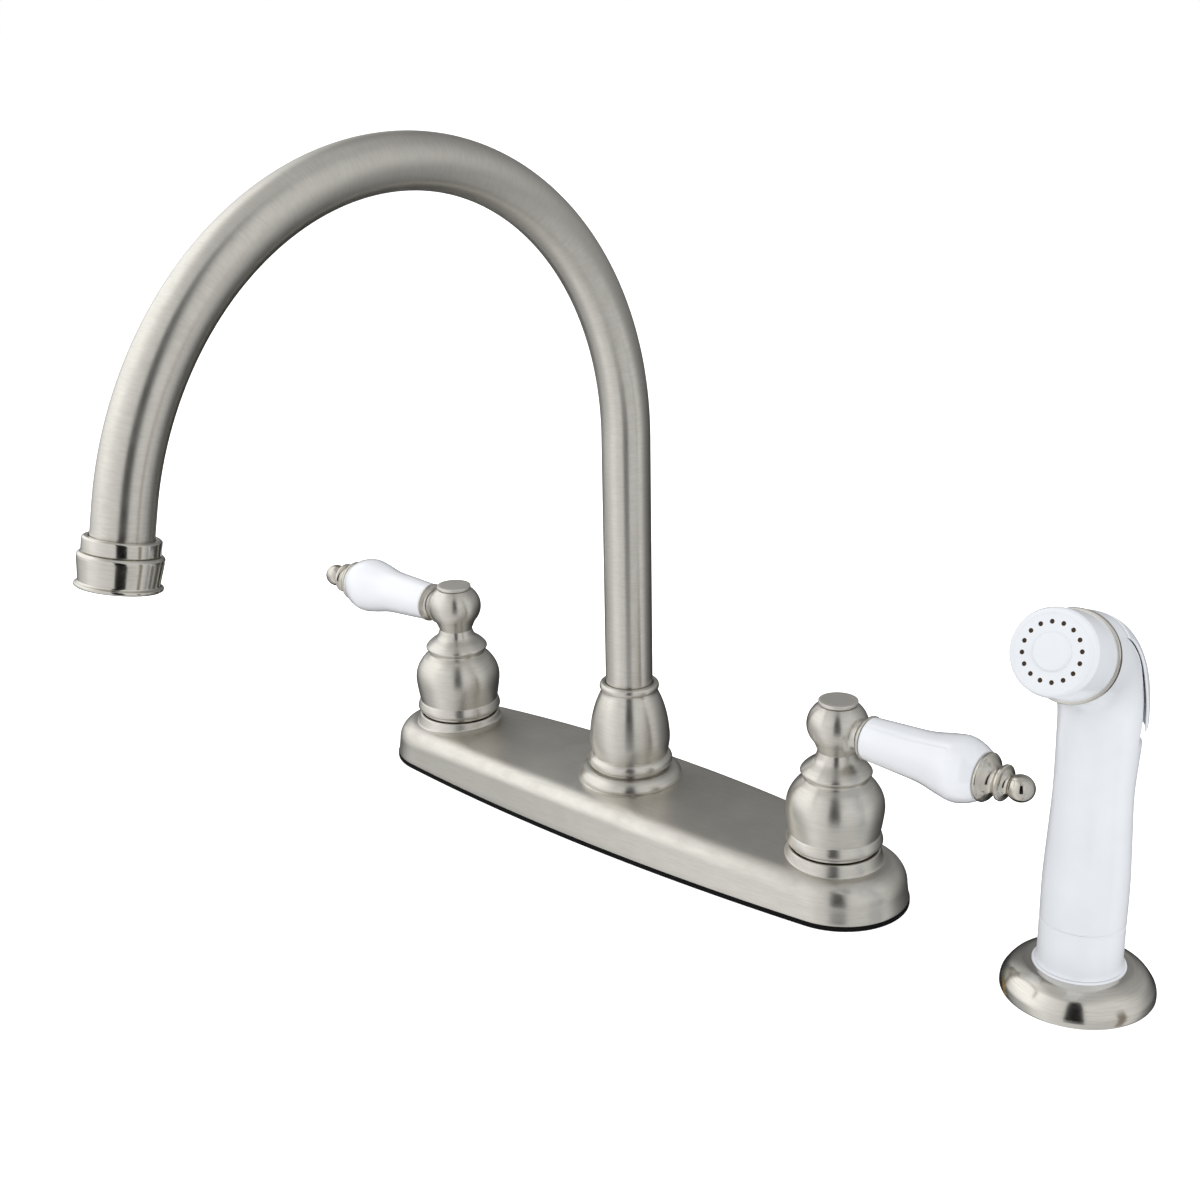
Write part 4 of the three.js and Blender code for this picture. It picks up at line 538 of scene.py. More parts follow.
def read_all(items, field, width=1, kind=float):
    """A number or a row of numbers from each item of a mesh."""
    values = np.empty(len(items) * width, kind)
    items.foreach_get(field, values)
    return values if width == 1 else values.reshape(-1, width)


def take_attribute(mesh, name):
    """The values of an attribute, at each corner of the faces; the attribute itself goes."""
    values = read_all(mesh.attributes[name].data, "value")
    mesh.attributes.remove(mesh.attributes[name])
    return values[read_all(mesh.loops, "vertex_index", kind=int)]


def places_of_corners(mesh):
    return read_all(mesh.vertices, "co", 3)[read_all(mesh.loops, "vertex_index", kind=int)]


def write_uv(mesh, u, v):
    mesh.uv_layers.new(name=UV).data.foreach_set("uv", np.column_stack([u, v]).ravel())


def write_round_uv(mesh, turns, along):
    """U in turns, moved by whole turns beside the first corner of each face, and V in metres."""
    first = turns[read_all(mesh.polygons, "loop_start", kind=int)]
    first = np.repeat(first, read_all(mesh.polygons, "loop_total", kind=int))
    write_uv(mesh, turns + np.round(first - turns), along)


def drop_uv(mesh):
    while mesh.uv_layers:
        mesh.uv_layers.remove(mesh.uv_layers[0])


# ---------------------------------------------------------------- geometry nodes

TURNING_RADIUS = 0.00001
SOCKET_KINDS = {int: "Int", float: "Float"}


def piece_tree(name, defaults):
    """A tree of geometry nodes that makes a piece of a seed mesh, and its inputs by title."""
    tree = bpy.data.node_groups.new(name, "GeometryNodeTree")
    tree.is_modifier = True
    socket(tree, "Seed", "Geometry")
    made = {title: socket(tree, title, SOCKET_KINDS[type(value)], value) for title, value in defaults.items()}
    made["Finish"] = socket(tree, "Finish", "Material")
    socket(tree, "Piece", "Geometry", out=True)
    return tree, made, tree.nodes.new("NodeGroupInput").outputs


def close_tree(tree, source, shape):
    """Realizes the tree's shape, gives it its finish and passes it out."""
    real = add_node(tree, "GeometryNodeRealizeInstances", {"Geometry": shape}).outputs["Geometry"]
    dressed = add_node(tree, "GeometryNodeSetMaterial", {"Geometry": real, "Material": source["Finish"]})
    feed(tree, tree.nodes.new("NodeGroupOutput"), {"Piece": dressed.outputs["Geometry"]})


def marked(tree, outline, name, kind):
    """A curve whose points keep their length or share along it as an attribute."""
    value = add_node(tree, "GeometryNodeSplineParameter").outputs[kind]
    inputs = {"Geometry": outline, "Name": name, "Value": value}
    node = add_node(tree, "GeometryNodeStoreNamedAttribute", inputs, data_type="FLOAT", domain="POINT")
    return node.outputs["Geometry"]


def seed_curve(tree, source):
    return add_node(tree, "GeometryNodeMeshToCurve", {"Mesh": source["Seed"]}).outputs["Curve"]


def circle(tree, sides, radius):
    inputs = {"Resolution": sides, "Radius": radius}
    return add_node(tree, "GeometryNodeCurvePrimitiveCircle", inputs).outputs["Curve"]


def swept(tree, path, section, caps=False):
    inputs = {"Curve": path, "Profile Curve": section, "Fill Caps": caps}
    return add_node(tree, "GeometryNodeCurveToMesh", inputs).outputs["Mesh"]


def spoke_angles(tree, count, shift):
    """As many points as there are spokes, and the angle of each."""
    points = add_node(tree, "GeometryNodePoints", {"Count": count}).outputs[0]
    index = calc(tree, "ADD", add_node(tree, "GeometryNodeInputIndex").outputs[0], shift)
    return points, calc(tree, "MULTIPLY", index, calc(tree, "DIVIDE", math.tau, count))


@functools.cache
def turning_tree():
    """Turns the outline in the seed mesh about Z."""
    tree, made, source = piece_tree("Turned piece", {
        "Sides": 96, "Turning radius": TURNING_RADIUS, "Weld distance": 1e-6})
    outline = marked(tree, seed_curve(tree, source), "along", "Length")
    skin = swept(tree, circle(tree, source["Sides"], source["Turning radius"]), outline)
    inputs = {"Geometry": skin, "Distance": source["Weld distance"]}
    close_tree(tree, source, add_node(tree, "GeometryNodeMergeByDistance", inputs).outputs["Geometry"])
    return tree, made


@functools.cache
def tube_tree():
    """Sweeps a round section along the centre line in the seed mesh."""
    tree, made, source = piece_tree("Bent tube", {"Radius": 0.0095, "Sides": 64})
    line = marked(tree, seed_curve(tree, source), "along", "Length")
    section = marked(tree, circle(tree, source["Sides"], source["Radius"]), "around", "Factor")
    close_tree(tree, source, swept(tree, line, section))
    return tree, made


@functools.cache
def spokes_tree():
    """Sets the bar in the seed mesh on each of a number of spokes about Z."""
    tree, made, source = piece_tree("Spokes", {"Spokes": 12})
    points, angle = spoke_angles(tree, source["Spokes"], 0.0)
    inputs = {"Points": points, "Instance": source["Seed"], "Rotation": combine(tree, Z=angle)}
    close_tree(tree, source, add_node(tree, "GeometryNodeInstanceOnPoints", inputs).outputs["Instances"])
    return tree, made


@functools.cache
def jets_tree():
    """Bores a circle of holes along Z through the face in the seed mesh."""
    tree, made, source = piece_tree("Jet holes", {
        "Jets": 16, "Jet radius": 0.00065, "Jet circle": 0.0095, "Height": 0.0198})
    points, angle = spoke_angles(tree, source["Jets"], 0.5)
    x, y = (calc(tree, "MULTIPLY", calc(tree, part, angle), source["Jet circle"])
            for part in ("COSINE", "SINE"))
    place = combine(tree, X=x, Y=y, Z=source["Height"])
    spread = add_node(tree, "GeometryNodeSetPosition", {"Geometry": points, "Position": place}).outputs[0]
    inputs = {"Vertices": 20, "Radius": source["Jet radius"], "Depth": 0.007}
    drill = add_node(tree, "GeometryNodeMeshCylinder", inputs).outputs["Mesh"]
    drills = add_node(tree, "GeometryNodeInstanceOnPoints", {"Points": spread, "Instance": drill}).outputs[0]
    tools = add_node(tree, "GeometryNodeRealizeInstances", {"Geometry": drills}).outputs[0]
    cut = add_node(tree, "GeometryNodeMeshBoolean", operation="DIFFERENCE", solver="EXACT")
    tree.links.new(source["Seed"], cut.inputs["Mesh 1"])
    tree.links.new(tools, cut.inputs["Mesh 2"])
    close_tree(tree, source, cut.outputs["Mesh"])
    return tree, made


@functools.cache
def thread_tree():
    """Winds a ridge with the section in the seed mesh up a helix about Z."""
    tree, made, source = piece_tree("Thread", {"Pitch": 0.0018, "Turns": 20.0, "Radius": 0.01, "Foot": -0.05})
    helix = add_node(tree, "GeometryNodeCurveSpiral", {
        "Resolution": 32, "Rotations": source["Turns"], "Start Radius": source["Radius"],
        "End Radius": source["Radius"], "Height": calc(tree, "MULTIPLY", source["Pitch"], source["Turns"])})
    ridge = swept(tree, helix.outputs["Curve"], seed_curve(tree, source), True)
    inputs = {"Geometry": ridge, "Translation": combine(tree, Z=source["Foot"])}
    close_tree(tree, source, add_node(tree, "GeometryNodeTransform", inputs).outputs[0])
    return tree, made


def grown(seed_mesh, maker, look, values):
    """The plain mesh that a tree of geometry nodes makes of a seed mesh."""
    seed = linked("seed", seed_mesh)
    modifier = seed.modifiers.new("grown", "NODES")
    modifier.node_group, sockets = maker()
    for title, value in {**values, "Finish": finish(look)}.items():
        modifier[sockets[title].identifier] = value
    seed.update_tag()
    return baked(seed)


def line_mesh(points, closed=False):
    """A seed mesh of points in metres, each joined to the next."""
    count = len(points)
    mesh = bpy.data.meshes.new("line")
    mesh.from_pydata(points, [(k, (k + 1) % count) for k in range(count if closed else count - 1)], [])
    return mesh


def turned_mesh(outline, look, sides=None):
    """A closed mesh turned about Z from an outline in millimetres."""
    closed = outline[0][0] > 0 or outline[-1][0] > 0
    seed = line_mesh([(r * MM - TURNING_RADIUS, -z * MM, 0.0) for r, z in rounded(outline, closed)], closed)
    mesh = grown(seed, turning_tree, look, {"Sides": sides or sizes().sides})
    outwards(mesh)
    along = take_attribute(mesh, "along")
    x, y, _ = places_of_corners(mesh).T
    write_round_uv(mesh, np.arctan2(y, x) / math.tau, along)
    return mesh


def turned(name, outline, look, node, where=None, sides=None, **placing):
    place_piece(name, turned_mesh(outline, look, sides), node, where, **placing)


# ---------------------------------------------------------------- base plate

RIM_RADIUS, RIM_DRAFT = 7.5, 0.8
PLATE_FOOT, PLATE_WALL = 1.8, 2.2
END_STEPS, SIDE_STEPS, PLINTH_STEPS, CENTRE_STEPS = 40, 96, 120, 96
# insets, and heights above the foot, of the plate's lower edge
FOOT_LEVELS = ((0.35, 0.0), (0.06, 0.12), (0.0, 0.4))
# insets of the lines of points on the plate's top, the first ones counted from the rim, and on its underside
NEAR_INSETS = (0.45, 1.0, 1.6, 2.3, 3.1, 4.0, 5.0, 6.2)
FAR_INSETS = (10.6, 12.4, 14.6, 17.0, 19.6, 22.2, 24.6)
UNDER_INSETS = (12.0, 16.0, 20.0, 24.0)
# radii round the plinths and round the plate's middle inside which those lines stay away
RIM_GAP, TOP_CLEAR, UNDER_CLEAR = 0.3, (25.8, 26.2), (14.0, 15.0)
CROWN_ALONG, CROWN_ACROSS = 4.2, 1.8
RIM_DROP, RIM_DROP_TO_ENDS = 5.5, 3.0
PLINTH_WALL = curve([(19.4, 14.2), (18.75, 16.8), (18.1, 19.0), (17.5, 20.8)], 16)
PLINTH_FLAT, PLINTH_EDGE, PLINTH_SLOPE, PLINTH_FILLET = 17.1, 0.4, 4.0, 1.1
PLINTH_RINGS = (
    16.85, 17.1, 17.3, 17.5, 17.65, 17.8, 17.95, 18.1, 18.25, 18.4, 18.55, 18.7, 18.85, 19.0, 19.15, 19.3,
    19.5, 19.75, 20.15, 20.6, 21.1, 21.7, 22.4, 23.2, 24.1, 25.2)
PAD_TOP, PAD_RADIUS, PAD_SLOPE, PAD_FILLET = 20.5, 20.2, 1.5, 0.4
PAD_RINGS = (17.0, 20.0, 20.35, 20.7, 21.2, 21.9, 22.8, 24.0, 25.5)
SEAT_RADIUS, SEAT_DEPTH, SHANK_HOLE = 16.5, 1.8, 12.6
THROAT_TOP, THROAT_FOOT = 13.3, 13.25
BRUSH_SCALE = 8.0


def plate_frame():
    """Half width, end radius, place of an end, radius of the bowed sides and the angle where they meet."""
    s = sizes()
    half, end, place = s.plate_half_width / MM, s.plate_end_radius / MM, s.plate_end_place / MM
    bow = (place**2 + half**2 - end**2) / (2 * (half - end))
    return half, end, place, bow, math.atan2(bow - half, place)


def plate_outline(inset):
    """The plate's outline drawn in by an inset: round ends that run into bowed sides."""
    half, end, place, bow, joint = plate_frame()
    points = []
    for x, y, radius, low, high, steps in (
            (place, 0.0, end, -joint, joint, END_STEPS),
            (0.0, half - bow, bow, joint, math.pi - joint, SIDE_STEPS),
            (-place, 0.0, end, math.pi - joint, math.pi + joint, END_STEPS),
            (0.0, bow - half, bow, math.pi + joint, math.tau - joint, SIDE_STEPS)):
        for step in range(steps):
            angle = low + (high - low) * step / steps
            points.append((x + (radius - inset) * math.cos(angle), y + (radius - inset) * math.sin(angle)))
    return points


def plate_inset(x, y):
    """How far a point lies inside the plate's outline."""
    half, end, place, bow, joint = plate_frame()
    beyond = abs(x) - place
    if abs(math.atan2(abs(y), beyond)) < joint:
        return end - math.hypot(beyond, y)
    return bow - math.hypot(x, abs(y) + bow - half)


def along_plate(x):
    """0 at the plate's middle and 1 at the tip of its ends."""
    _, end, place, _, _ = plate_frame()
    return x / (place + end)


def crown(x, y):
    across = y / (sizes().plate_half_width / MM)
    return sizes().plate_top / MM - CROWN_ALONG * along_plate(x) ** 2 - CROWN_ACROSS * across**2


def rim_drop(x):
    return RIM_DROP + RIM_DROP_TO_ENDS * along_plate(x) ** 2


def rim_inset(degrees):
    return RIM_DRAFT + RIM_RADIUS * (1 - math.cos(math.radians(degrees)))


def plinth_height(radius):
    if radius <= PLINTH_FLAT + PLINTH_EDGE:
        return PLINTH_TOP - PLINTH_EDGE * (max(radius - PLINTH_FLAT, 0.0) / PLINTH_EDGE) ** 2
    (foot_radius, foot_height), *_ = PLINTH_WALL
    if radius >= foot_radius:
        return foot_height - PLINTH_SLOPE * (radius - foot_radius)
    radii, heights = zip(*PLINTH_WALL[::-1])
    return float(np.interp(radius, radii, heights))


def blended(one, two, width):
    """The higher of two heights, with a fillet where they meet."""
    share = max(width - abs(one - two), 0.0) / width
    return max(one, two) + share * share * width / 4


def plate_height(x, y):
    inset = plate_inset(x, y)
    height = crown(x, y)
    if inset < RIM_DRAFT + RIM_RADIUS:
        angle = math.acos(min(max(1 - (inset - RIM_DRAFT) / RIM_RADIUS, 0.0), 1.0))
        height -= rim_drop(x) * (1 - math.sin(angle))
    height = blended(height, plinth_height(math.hypot(abs(x) - PITCH, y)), PLINTH_FILLET)
    return blended(height, PAD_TOP - PAD_SLOPE * max(math.hypot(x, y) - PAD_RADIUS, 0.0), PAD_FILLET)


def ring_points(x, radius, count):
    angles = [math.tau * k / count for k in range(count)]
    return [(x + radius * math.cos(a), radius * math.sin(a)) for a in angles]


def plinth_ring(side, radius):
    return ring_points(side * PITCH, radius, PLINTH_STEPS)


def centre_ring(radius):
    return ring_points(0.0, radius, CENTRE_STEPS)


def clear_of_rings(points, plinth, centre):
    """The points that lie outside the given radii round the plinths and the plate's middle."""
    return [p for p in points if math.hypot(abs(p[0]) - PITCH, p[1]) > plinth and math.hypot(*p) > centre]


def plate_mesh():
    writer = MeshWriter()

    def wall(share):
        return lambda x, y: crown(x, y) - rim_drop(x) * share

    def wall_part(share):
        return lambda x, y: PLATE_FOOT + (wall(1.0)(x, y) - PLATE_FOOT) * share

    # outside, from the foot up to where the rim leans over by half
    levels = [(inset, PLATE_FOOT + height) for inset, height in FOOT_LEVELS]
    levels += [(RIM_DRAFT * share, wall_part(share)) for share in (0.25, 0.5, 0.75)]
    levels += [(rim_inset(lean), wall(1 - math.sin(math.radians(lean)))) for lean in range(0, 45, 5)]
    rings = [writer.ring(plate_outline(inset), height) for inset, height in levels]
    edge = rim_inset(45)
    inner = []
    for inset in (*(edge + step for step in NEAR_INSETS), *FAR_INSETS):
        inner += clear_of_rings(plate_outline(inset), *TOP_CLEAR)
    loops = [plinth_ring(side, radius) for side in (-1, 1) for radius in PLINTH_RINGS]
    for loop in loops + [centre_ring(radius) for radius in PAD_RINGS]:
        inner += [p for p in loop if plate_inset(*p) > edge + RIM_GAP]
    seats = [plinth_ring(side, SEAT_RADIUS) for side in (-1, 1)]
    outer, *holes = writer.field(plate_outline(edge), [*seats, centre_ring(THROAT_TOP)], inner, plate_height)
    writer.strips(*rings, outer)
    # underside, drawn in by the wall
    inner = []
    for inset in UNDER_INSETS:
        inner += clear_of_rings(plate_outline(inset)[::4], *UNDER_CLEAR)
    lower_holes = [*(plinth_ring(side, SHANK_HOLE) for side in (-1, 1)), centre_ring(THROAT_FOOT)]
    ceiling, *below = writer.field(
        plate_outline(PLATE_WALL + RIM_RADIUS), lower_holes, inner, lambda x, y: crown(x, y) - PLATE_WALL)
    walls = [writer.ring(plate_outline(PLATE_WALL), PLATE_FOOT),
             writer.ring(plate_outline(PLATE_WALL + RIM_DRAFT), wall(1.0)), ceiling]
    writer.strips(rings[0], *walls)
    # the walls of the three holes
    for side, top, low in ((-1, holes[0], below[0]), (1, holes[1], below[1])):
        floor = [writer.ring(plinth_ring(side, radius), PLINTH_TOP - SEAT_DEPTH)
                 for radius in (SEAT_RADIUS, SHANK_HOLE)]
        writer.strips(top, *floor, low)
    writer.strips(holes[2], below[2])
    return writer.mesh("satin_nickel")


def write_plate_uv(mesh):
    """U runs with the plate's outline and V in from it and up its sides, as the brush did."""
    _, end, end_place, _, _ = plate_frame()
    x, y, z = places_of_corners(mesh).T / MM
    beyond = np.maximum(np.abs(x) - end_place, 0.0)
    walk = np.sign(x) * (np.minimum(np.abs(x), end_place) + end * np.arctan2(beyond, np.abs(y) + 1e-6))
    inset = np.array([plate_inset(*p) for p in zip(x, y)])
    write_uv(mesh, walk * MM * BRUSH_SCALE, (inset - z) * MM)


GASKET_SECTION = ((-0.15, 0.0), (-0.3, 0.2), (-0.3, 1.55), (-0.1, 1.75), (0.3, 1.8), (4.5, 1.8), (4.5, 0.0))


class FAUCET_OT_deck_plate(bpy.types.Operator):
    """Pillow-shaped base plate with its two plinths, drawn over its black gasket"""

    bl_idname = "faucet.deck_plate"
    bl_label = "Base plate"

    def execute(self, context):
        plate = plate_mesh()
        write_plate_uv(plate)
        place_piece("deck_plate_skin", plate, "deck_plate", angle=40.0)
        gasket = MeshWriter()
        rings = [gasket.ring(plate_outline(inset), height) for inset, height in GASKET_SECTION]
        gasket.strips(*rings, rings[0])
        place_piece("base_gasket_skin", gasket.mesh("rubber"), "base_gasket")
        return {"FINISHED"}


# ---------------------------------------------------------------- handles

HUB_OUTLINE = [
    (15.4, 21.75), (16.4, 21.75), (16.4, 22.9), (17.1, 22.9, 0.2),
    *curve([(17.7, 23.25), (18.2, 24.0), (18.15, 25.0), (17.75, 26.3), (17.35, 27.3)], 18),
    (17.1, 27.6, 0.15),
    *curve([(17.15, 28.0), (17.85, 31.9), (18.5, 37.9), (17.6, 42.5), (15.1, 46.6), (12.6, 48.9)], 40),
    (12.2, 49.25, 0.2), (12.2, 50.1, 0.25),
    *curve([(12.9, 50.8), (13.4, 52.2), (11.5, 54.4), (8.4, 56.9), (7.1, 60.1)], 32),
    *arc((0.0, 70.6), 11.5, 10.2, -40, 50.6, 40),
    (4.8, 78.48, 0.1), (4.8, 62.3), (2.4, 62.3), (2.4, 57.3), (4.2, 57.3), (4.2, 40.2), (8.6, 38.2),
    (15.4, 33.2)]
BOSS_OUTLINE = [
    (2.6, 6.2), (8.2, 8.2), *curve([(7.4, 9.0), (6.6, 9.7), (6.25, 10.6)], 8), (6.2, 12.0, 0.25), (2.6, 12.0)]
CAP_OUTLINE = [
    (0.0, 73.78), (4.5, 73.78), (4.5, 78.6), (7.0, 78.6, 0.15), (7.35, 79.0, 0.3), (7.35, 80.15, 0.35),
    (6.2, 80.33, 0.6), (0.0, 80.38)]
FERRULE_OUTLINE = [
    (2.6, 12.3), (6.35, 12.3, 0.15), *curve([(6.5, 12.6), (6.75, 13.2), (7.6, 13.8), (8.2, 13.95)], 10),
    (8.4, 14.05, 0.1), (8.4, 14.7, 0.15), (2.6, 14.7)]
GRIP_OUTLINE = [
    (3.0, 14.75), (7.9, 14.75, 0.3),
    *curve([(8.1, 15.2), (8.7, 26.2), (9.5, 38.65), (11.3, 47.7), (12.1, 53.4), (11.0, 58.2),
            (8.9, 62.3)], 56),
    (8.3, 62.5, 0.3), (3.0, 62.5)]
FINIAL_OUTLINE = [
    (2.6, 62.7), (8.6, 62.7, 0.2), (8.9, 63.2, 0.2), (8.9, 63.8, 0.2),
    *curve([(8.4, 64.5), (7.0, 65.4), (5.9, 66.6), (5.45, 67.6), (5.45, 68.5), (5.8, 69.3)], 20),
    (6.5, 69.75, 0.15), (6.6, 70.6, 0.2),
    *curve([(6.2, 71.0), (5.2, 71.3), (4.4, 71.9), (3.95, 72.7), (3.9, 73.4)], 12),
    *arc((0.0, 76.8), 4.85, 5.1, -42, 90, 24), (0.0, 69.3), (2.6, 68.5)]
LEVER_PIECES = (
    ("ferrule", FERRULE_OUTLINE, 72), ("grip", GRIP_OUTLINE, None), ("finial", FINIAL_OUTLINE, 72))


def handle_place(side):
    return move(x=side * PITCH) @ turn(180 + LEVER_YAW if side < 0 else -LEVER_YAW, "Z")


def lever_place(side):
    return handle_place(side) @ move(z=LEVER_HEIGHT) @ turn(90, "Y")


class FAUCET_OT_hubs(bpy.types.Operator):
    """Turned hubs of the two handles, each with the boss that its lever screws onto"""

    bl_idname = "faucet.hubs"
    bl_label = "Handle hubs"

    def execute(self, context):
        for prefix, side in HANDLES:
            hub = turned_mesh(HUB_OUTLINE, "satin_nickel", sides=128)
            hub.transform(handle_place(side))
            boss = turned_mesh(BOSS_OUTLINE, "satin_nickel", sides=64)
            boss.transform(lever_place(side))
            place_piece(f"{prefix}_hub_skin", joined_mesh([hub, boss]), f"{prefix}_handle_hub")
        return {"FINISHED"}


class FAUCET_OT_caps(bpy.types.Operator):
    """Plain flat caps on the balls of the two hubs"""

    bl_idname = "faucet.caps"
    bl_label = "Index caps"

    def execute(self, context):
        for prefix, side in HANDLES:
            node = f"{prefix}_index_cap"
            turned(f"{prefix}_cap_skin", CAP_OUTLINE, "cap_nickel", node, handle_place(side), sides=72)
        return {"FINISHED"}


class FAUCET_OT_levers(bpy.types.Operator):
    """Ferrules, porcelain grips and turned finials of the two levers"""

    bl_idname = "faucet.levers"
    bl_label = "Levers"

    def execute(self, context):
        for prefix, side in HANDLES:
            for part, outline, sides in LEVER_PIECES:
                node = f"{prefix}_lever_{part}"
                turned(f"{prefix}_{part}_skin", outline, SLOTS[node], node, lever_place(side), sides)
        return {"FINISHED"}


# ---------------------------------------------------------------- spout

URN_OUTLINE = [
    (13.3, 20.6), (20.55, 20.6), (20.55, 19.95), (20.85, 19.95, 0.1),
    *curve([(21.1, 20.4), (21.15, 21.2), (20.75, 22.2), (19.9, 23.3), (18.8, 24.2), (17.5, 24.7)], 24),
    (15.2, 24.8, 0.1), (15.2, 26.0, 0.1), (16.5, 26.0, 0.2),
    *curve([(16.9, 26.2), (17.25, 26.9), (17.3, 28.0), (16.9, 29.2), (16.1, 30.1)], 20), (15.35, 30.4, 0.15),
    *curve([(15.4, 30.7), (16.1, 34.0), (16.4, 38.2), (15.5, 45.6), (13.8, 52.0), (11.5, 57.4)], 40),
    *arc((10.7, 59.6), 1.4, 1.7, -58, 90, 14),
    (9.9, 61.3, 0.2), (9.9, 52.3), (12.3, 52.3), (12.3, 47.3), (13.3, 47.3)]
COLLAR_OUTLINE = [
    (8.5, -4.2), (10.3, -4.2, 0.2), (10.5, 0.0), (11.35, 0.0, 0.2), (11.7, 0.4, 0.3), (11.7, 4.3, 0.5),
    (11.1, 4.8, 0.3), (9.8, 4.8, 0.1), (9.8, 0.9), (8.5, 0.9)]
HOUSING_OUTLINE = [
    (9.0, -10.5), (12.5, -10.5, 0.3), (13.1, -10.1, 0.4), (13.05, -9.35, 0.35), (12.15, -9.0, 0.25),
    (12.0, -8.6, 0.2), (12.85, -1.6, 0.2), (12.85, -0.8, 0.4), (12.2, -0.03, 0.5), (10.7, -0.03),
    (10.7, -9.7), (9.0, -9.7)]
INSERT_CUP = [
    (0.0, -8.2), (8.7, -8.2), (8.7, -9.4, 0.1), (9.9, -9.4, 0.1), (9.9, -6.75), (9.1, -5.95), (0.0, -5.95)]
INSERT_BOSS = [(0.0, -9.5), (1.2, -9.5, 0.2), (1.2, -8.1), (0.0, -8.1)]
HOOP_RADII, HOOP_WIDTH, HOOP_FOOT, HOOP_TOP = (2.0, 4.2, 6.4), 0.55, -9.4, -8.1
BAR_CORNERS, BAR_COUNT, BAR_BREAK = ((0.3, -0.28, -9.3), (8.8, 0.28, -8.1)), 16, 0.08
TUBE_FOOT, OUTLET_LEG = 50.0, 12.7
RISER_STEPS, BEND_STEPS, LEG_STEPS = 12, 96, 3
OUTLET_END = (0.0, -225.79, 173.03)


def spout_line():
    """The tube's centre line in metres: riser, bend and a short straight end."""
    s = sizes()
    foot = TUBE_FOOT * MM
    points = [Vector((0.0, 0.0, foot + (s.riser_top - foot) * k / RISER_STEPS)) for k in range(RISER_STEPS)]
    for k in range(BEND_STEPS + 1):
        angle = s.bend_angle * k / BEND_STEPS
        points.append(Vector((
            0.0, s.bend_radius * (math.cos(angle) - 1), s.riser_top + s.bend_radius * math.sin(angle))))
    way = Vector((0.0, -math.sin(s.bend_angle), math.cos(s.bend_angle)))
    return points + [points[-1] + way * OUTLET_LEG * MM * (k + 1) / LEG_STEPS for k in range(LEG_STEPS)]


def outlet_place():
    """The end of the spout, its Z pointing back up the tube."""
    return move(*OUTLET_END) @ turn(math.degrees(sizes().bend_angle) - 180, "X")


def bar_mesh(low, high):
    """A plain bar between two corners, with its edges broken."""
    work = bmesh.new()
    bmesh.ops.create_cube(work, size=1.0)
    for vert in work.verts:
        vert.co = Vector([(high[k] + low[k]) / 2 + vert.co[k] * (high[k] - low[k]) for k in range(3)]) * MM
    bmesh.ops.bevel(work, geom=work.edges[:], offset=BAR_BREAK * MM, segments=1, affect="EDGES")
    mesh = bpy.data.meshes.new("bar")
    work.to_mesh(mesh)
    work.free()
    return mesh


def hoop_outline(radius):
    outer = radius + HOOP_WIDTH
    return [(radius, HOOP_FOOT), (outer, HOOP_FOOT), (outer, HOOP_TOP), (radius, HOOP_TOP)]


def insert_mesh():
    """Cup, hoops, spokes and boss of the insert in the aerator."""
    meshes = [turned_mesh(INSERT_CUP, "acetal", sides=72)]
    meshes += [turned_mesh(hoop_outline(radius), "acetal", sides=48) for radius in HOOP_RADII]
    meshes.append(grown(bar_mesh(*BAR_CORNERS), spokes_tree, "acetal", {"Spokes": BAR_COUNT}))
    meshes.append(turned_mesh(INSERT_BOSS, "acetal", sides=24))
    for mesh in meshes:
        drop_uv(mesh)
    return joined_mesh(meshes)


class FAUCET_OT_spout_base(bpy.types.Operator):
    """Urn-shaped base of the spout with its flared foot, ring and bead"""

    bl_idname = "faucet.spout_base"
    bl_label = "Spout base"

    def execute(self, context):
        turned("spout_urn_skin", URN_OUTLINE, "satin_nickel", "spout_urn", sides=128)
        return {"FINISHED"}


class FAUCET_OT_spout_tube(bpy.types.Operator):
    """Gooseneck tube of the spout, bent on one radius"""

    bl_idname = "faucet.spout_tube"
    bl_label = "Spout tube"

    def execute(self, context):
        s = sizes()
        values = {"Radius": s.tube_radius, "Sides": 72}
        mesh = grown(line_mesh(spout_line()), tube_tree, "satin_nickel", values)
        write_round_uv(mesh, take_attribute(mesh, "around"), take_attribute(mesh, "along"))
        tube = linked("tube", mesh)
        wall = tube.modifiers.new("Wall", "SOLIDIFY")
        wall.thickness, wall.offset, wall.use_even_offset = s.tube_wall, -1.0, True
        place_piece("spout_tube_skin", baked(tube), "spout_tube")
        return {"FINISHED"}


class FAUCET_OT_outlet(bpy.types.Operator):
    """Collar, aerator housing and the spoked insert that the water leaves through"""

    bl_idname = "faucet.outlet"
    bl_label = "Outlet"

    def execute(self, context):
        where = outlet_place()
        turned("outlet_collar_skin", COLLAR_OUTLINE, "half_polished_nickel", "outlet_collar", where)
        turned("aerator_housing_skin", HOUSING_OUTLINE, "half_polished_nickel", "aerator_housing", where,
               sides=112)
        place_piece("aerator_insert_skin", insert_mesh(), "aerator_insert", where)
        return {"FINISHED"}


# ---------------------------------------------------------------- side spray holder

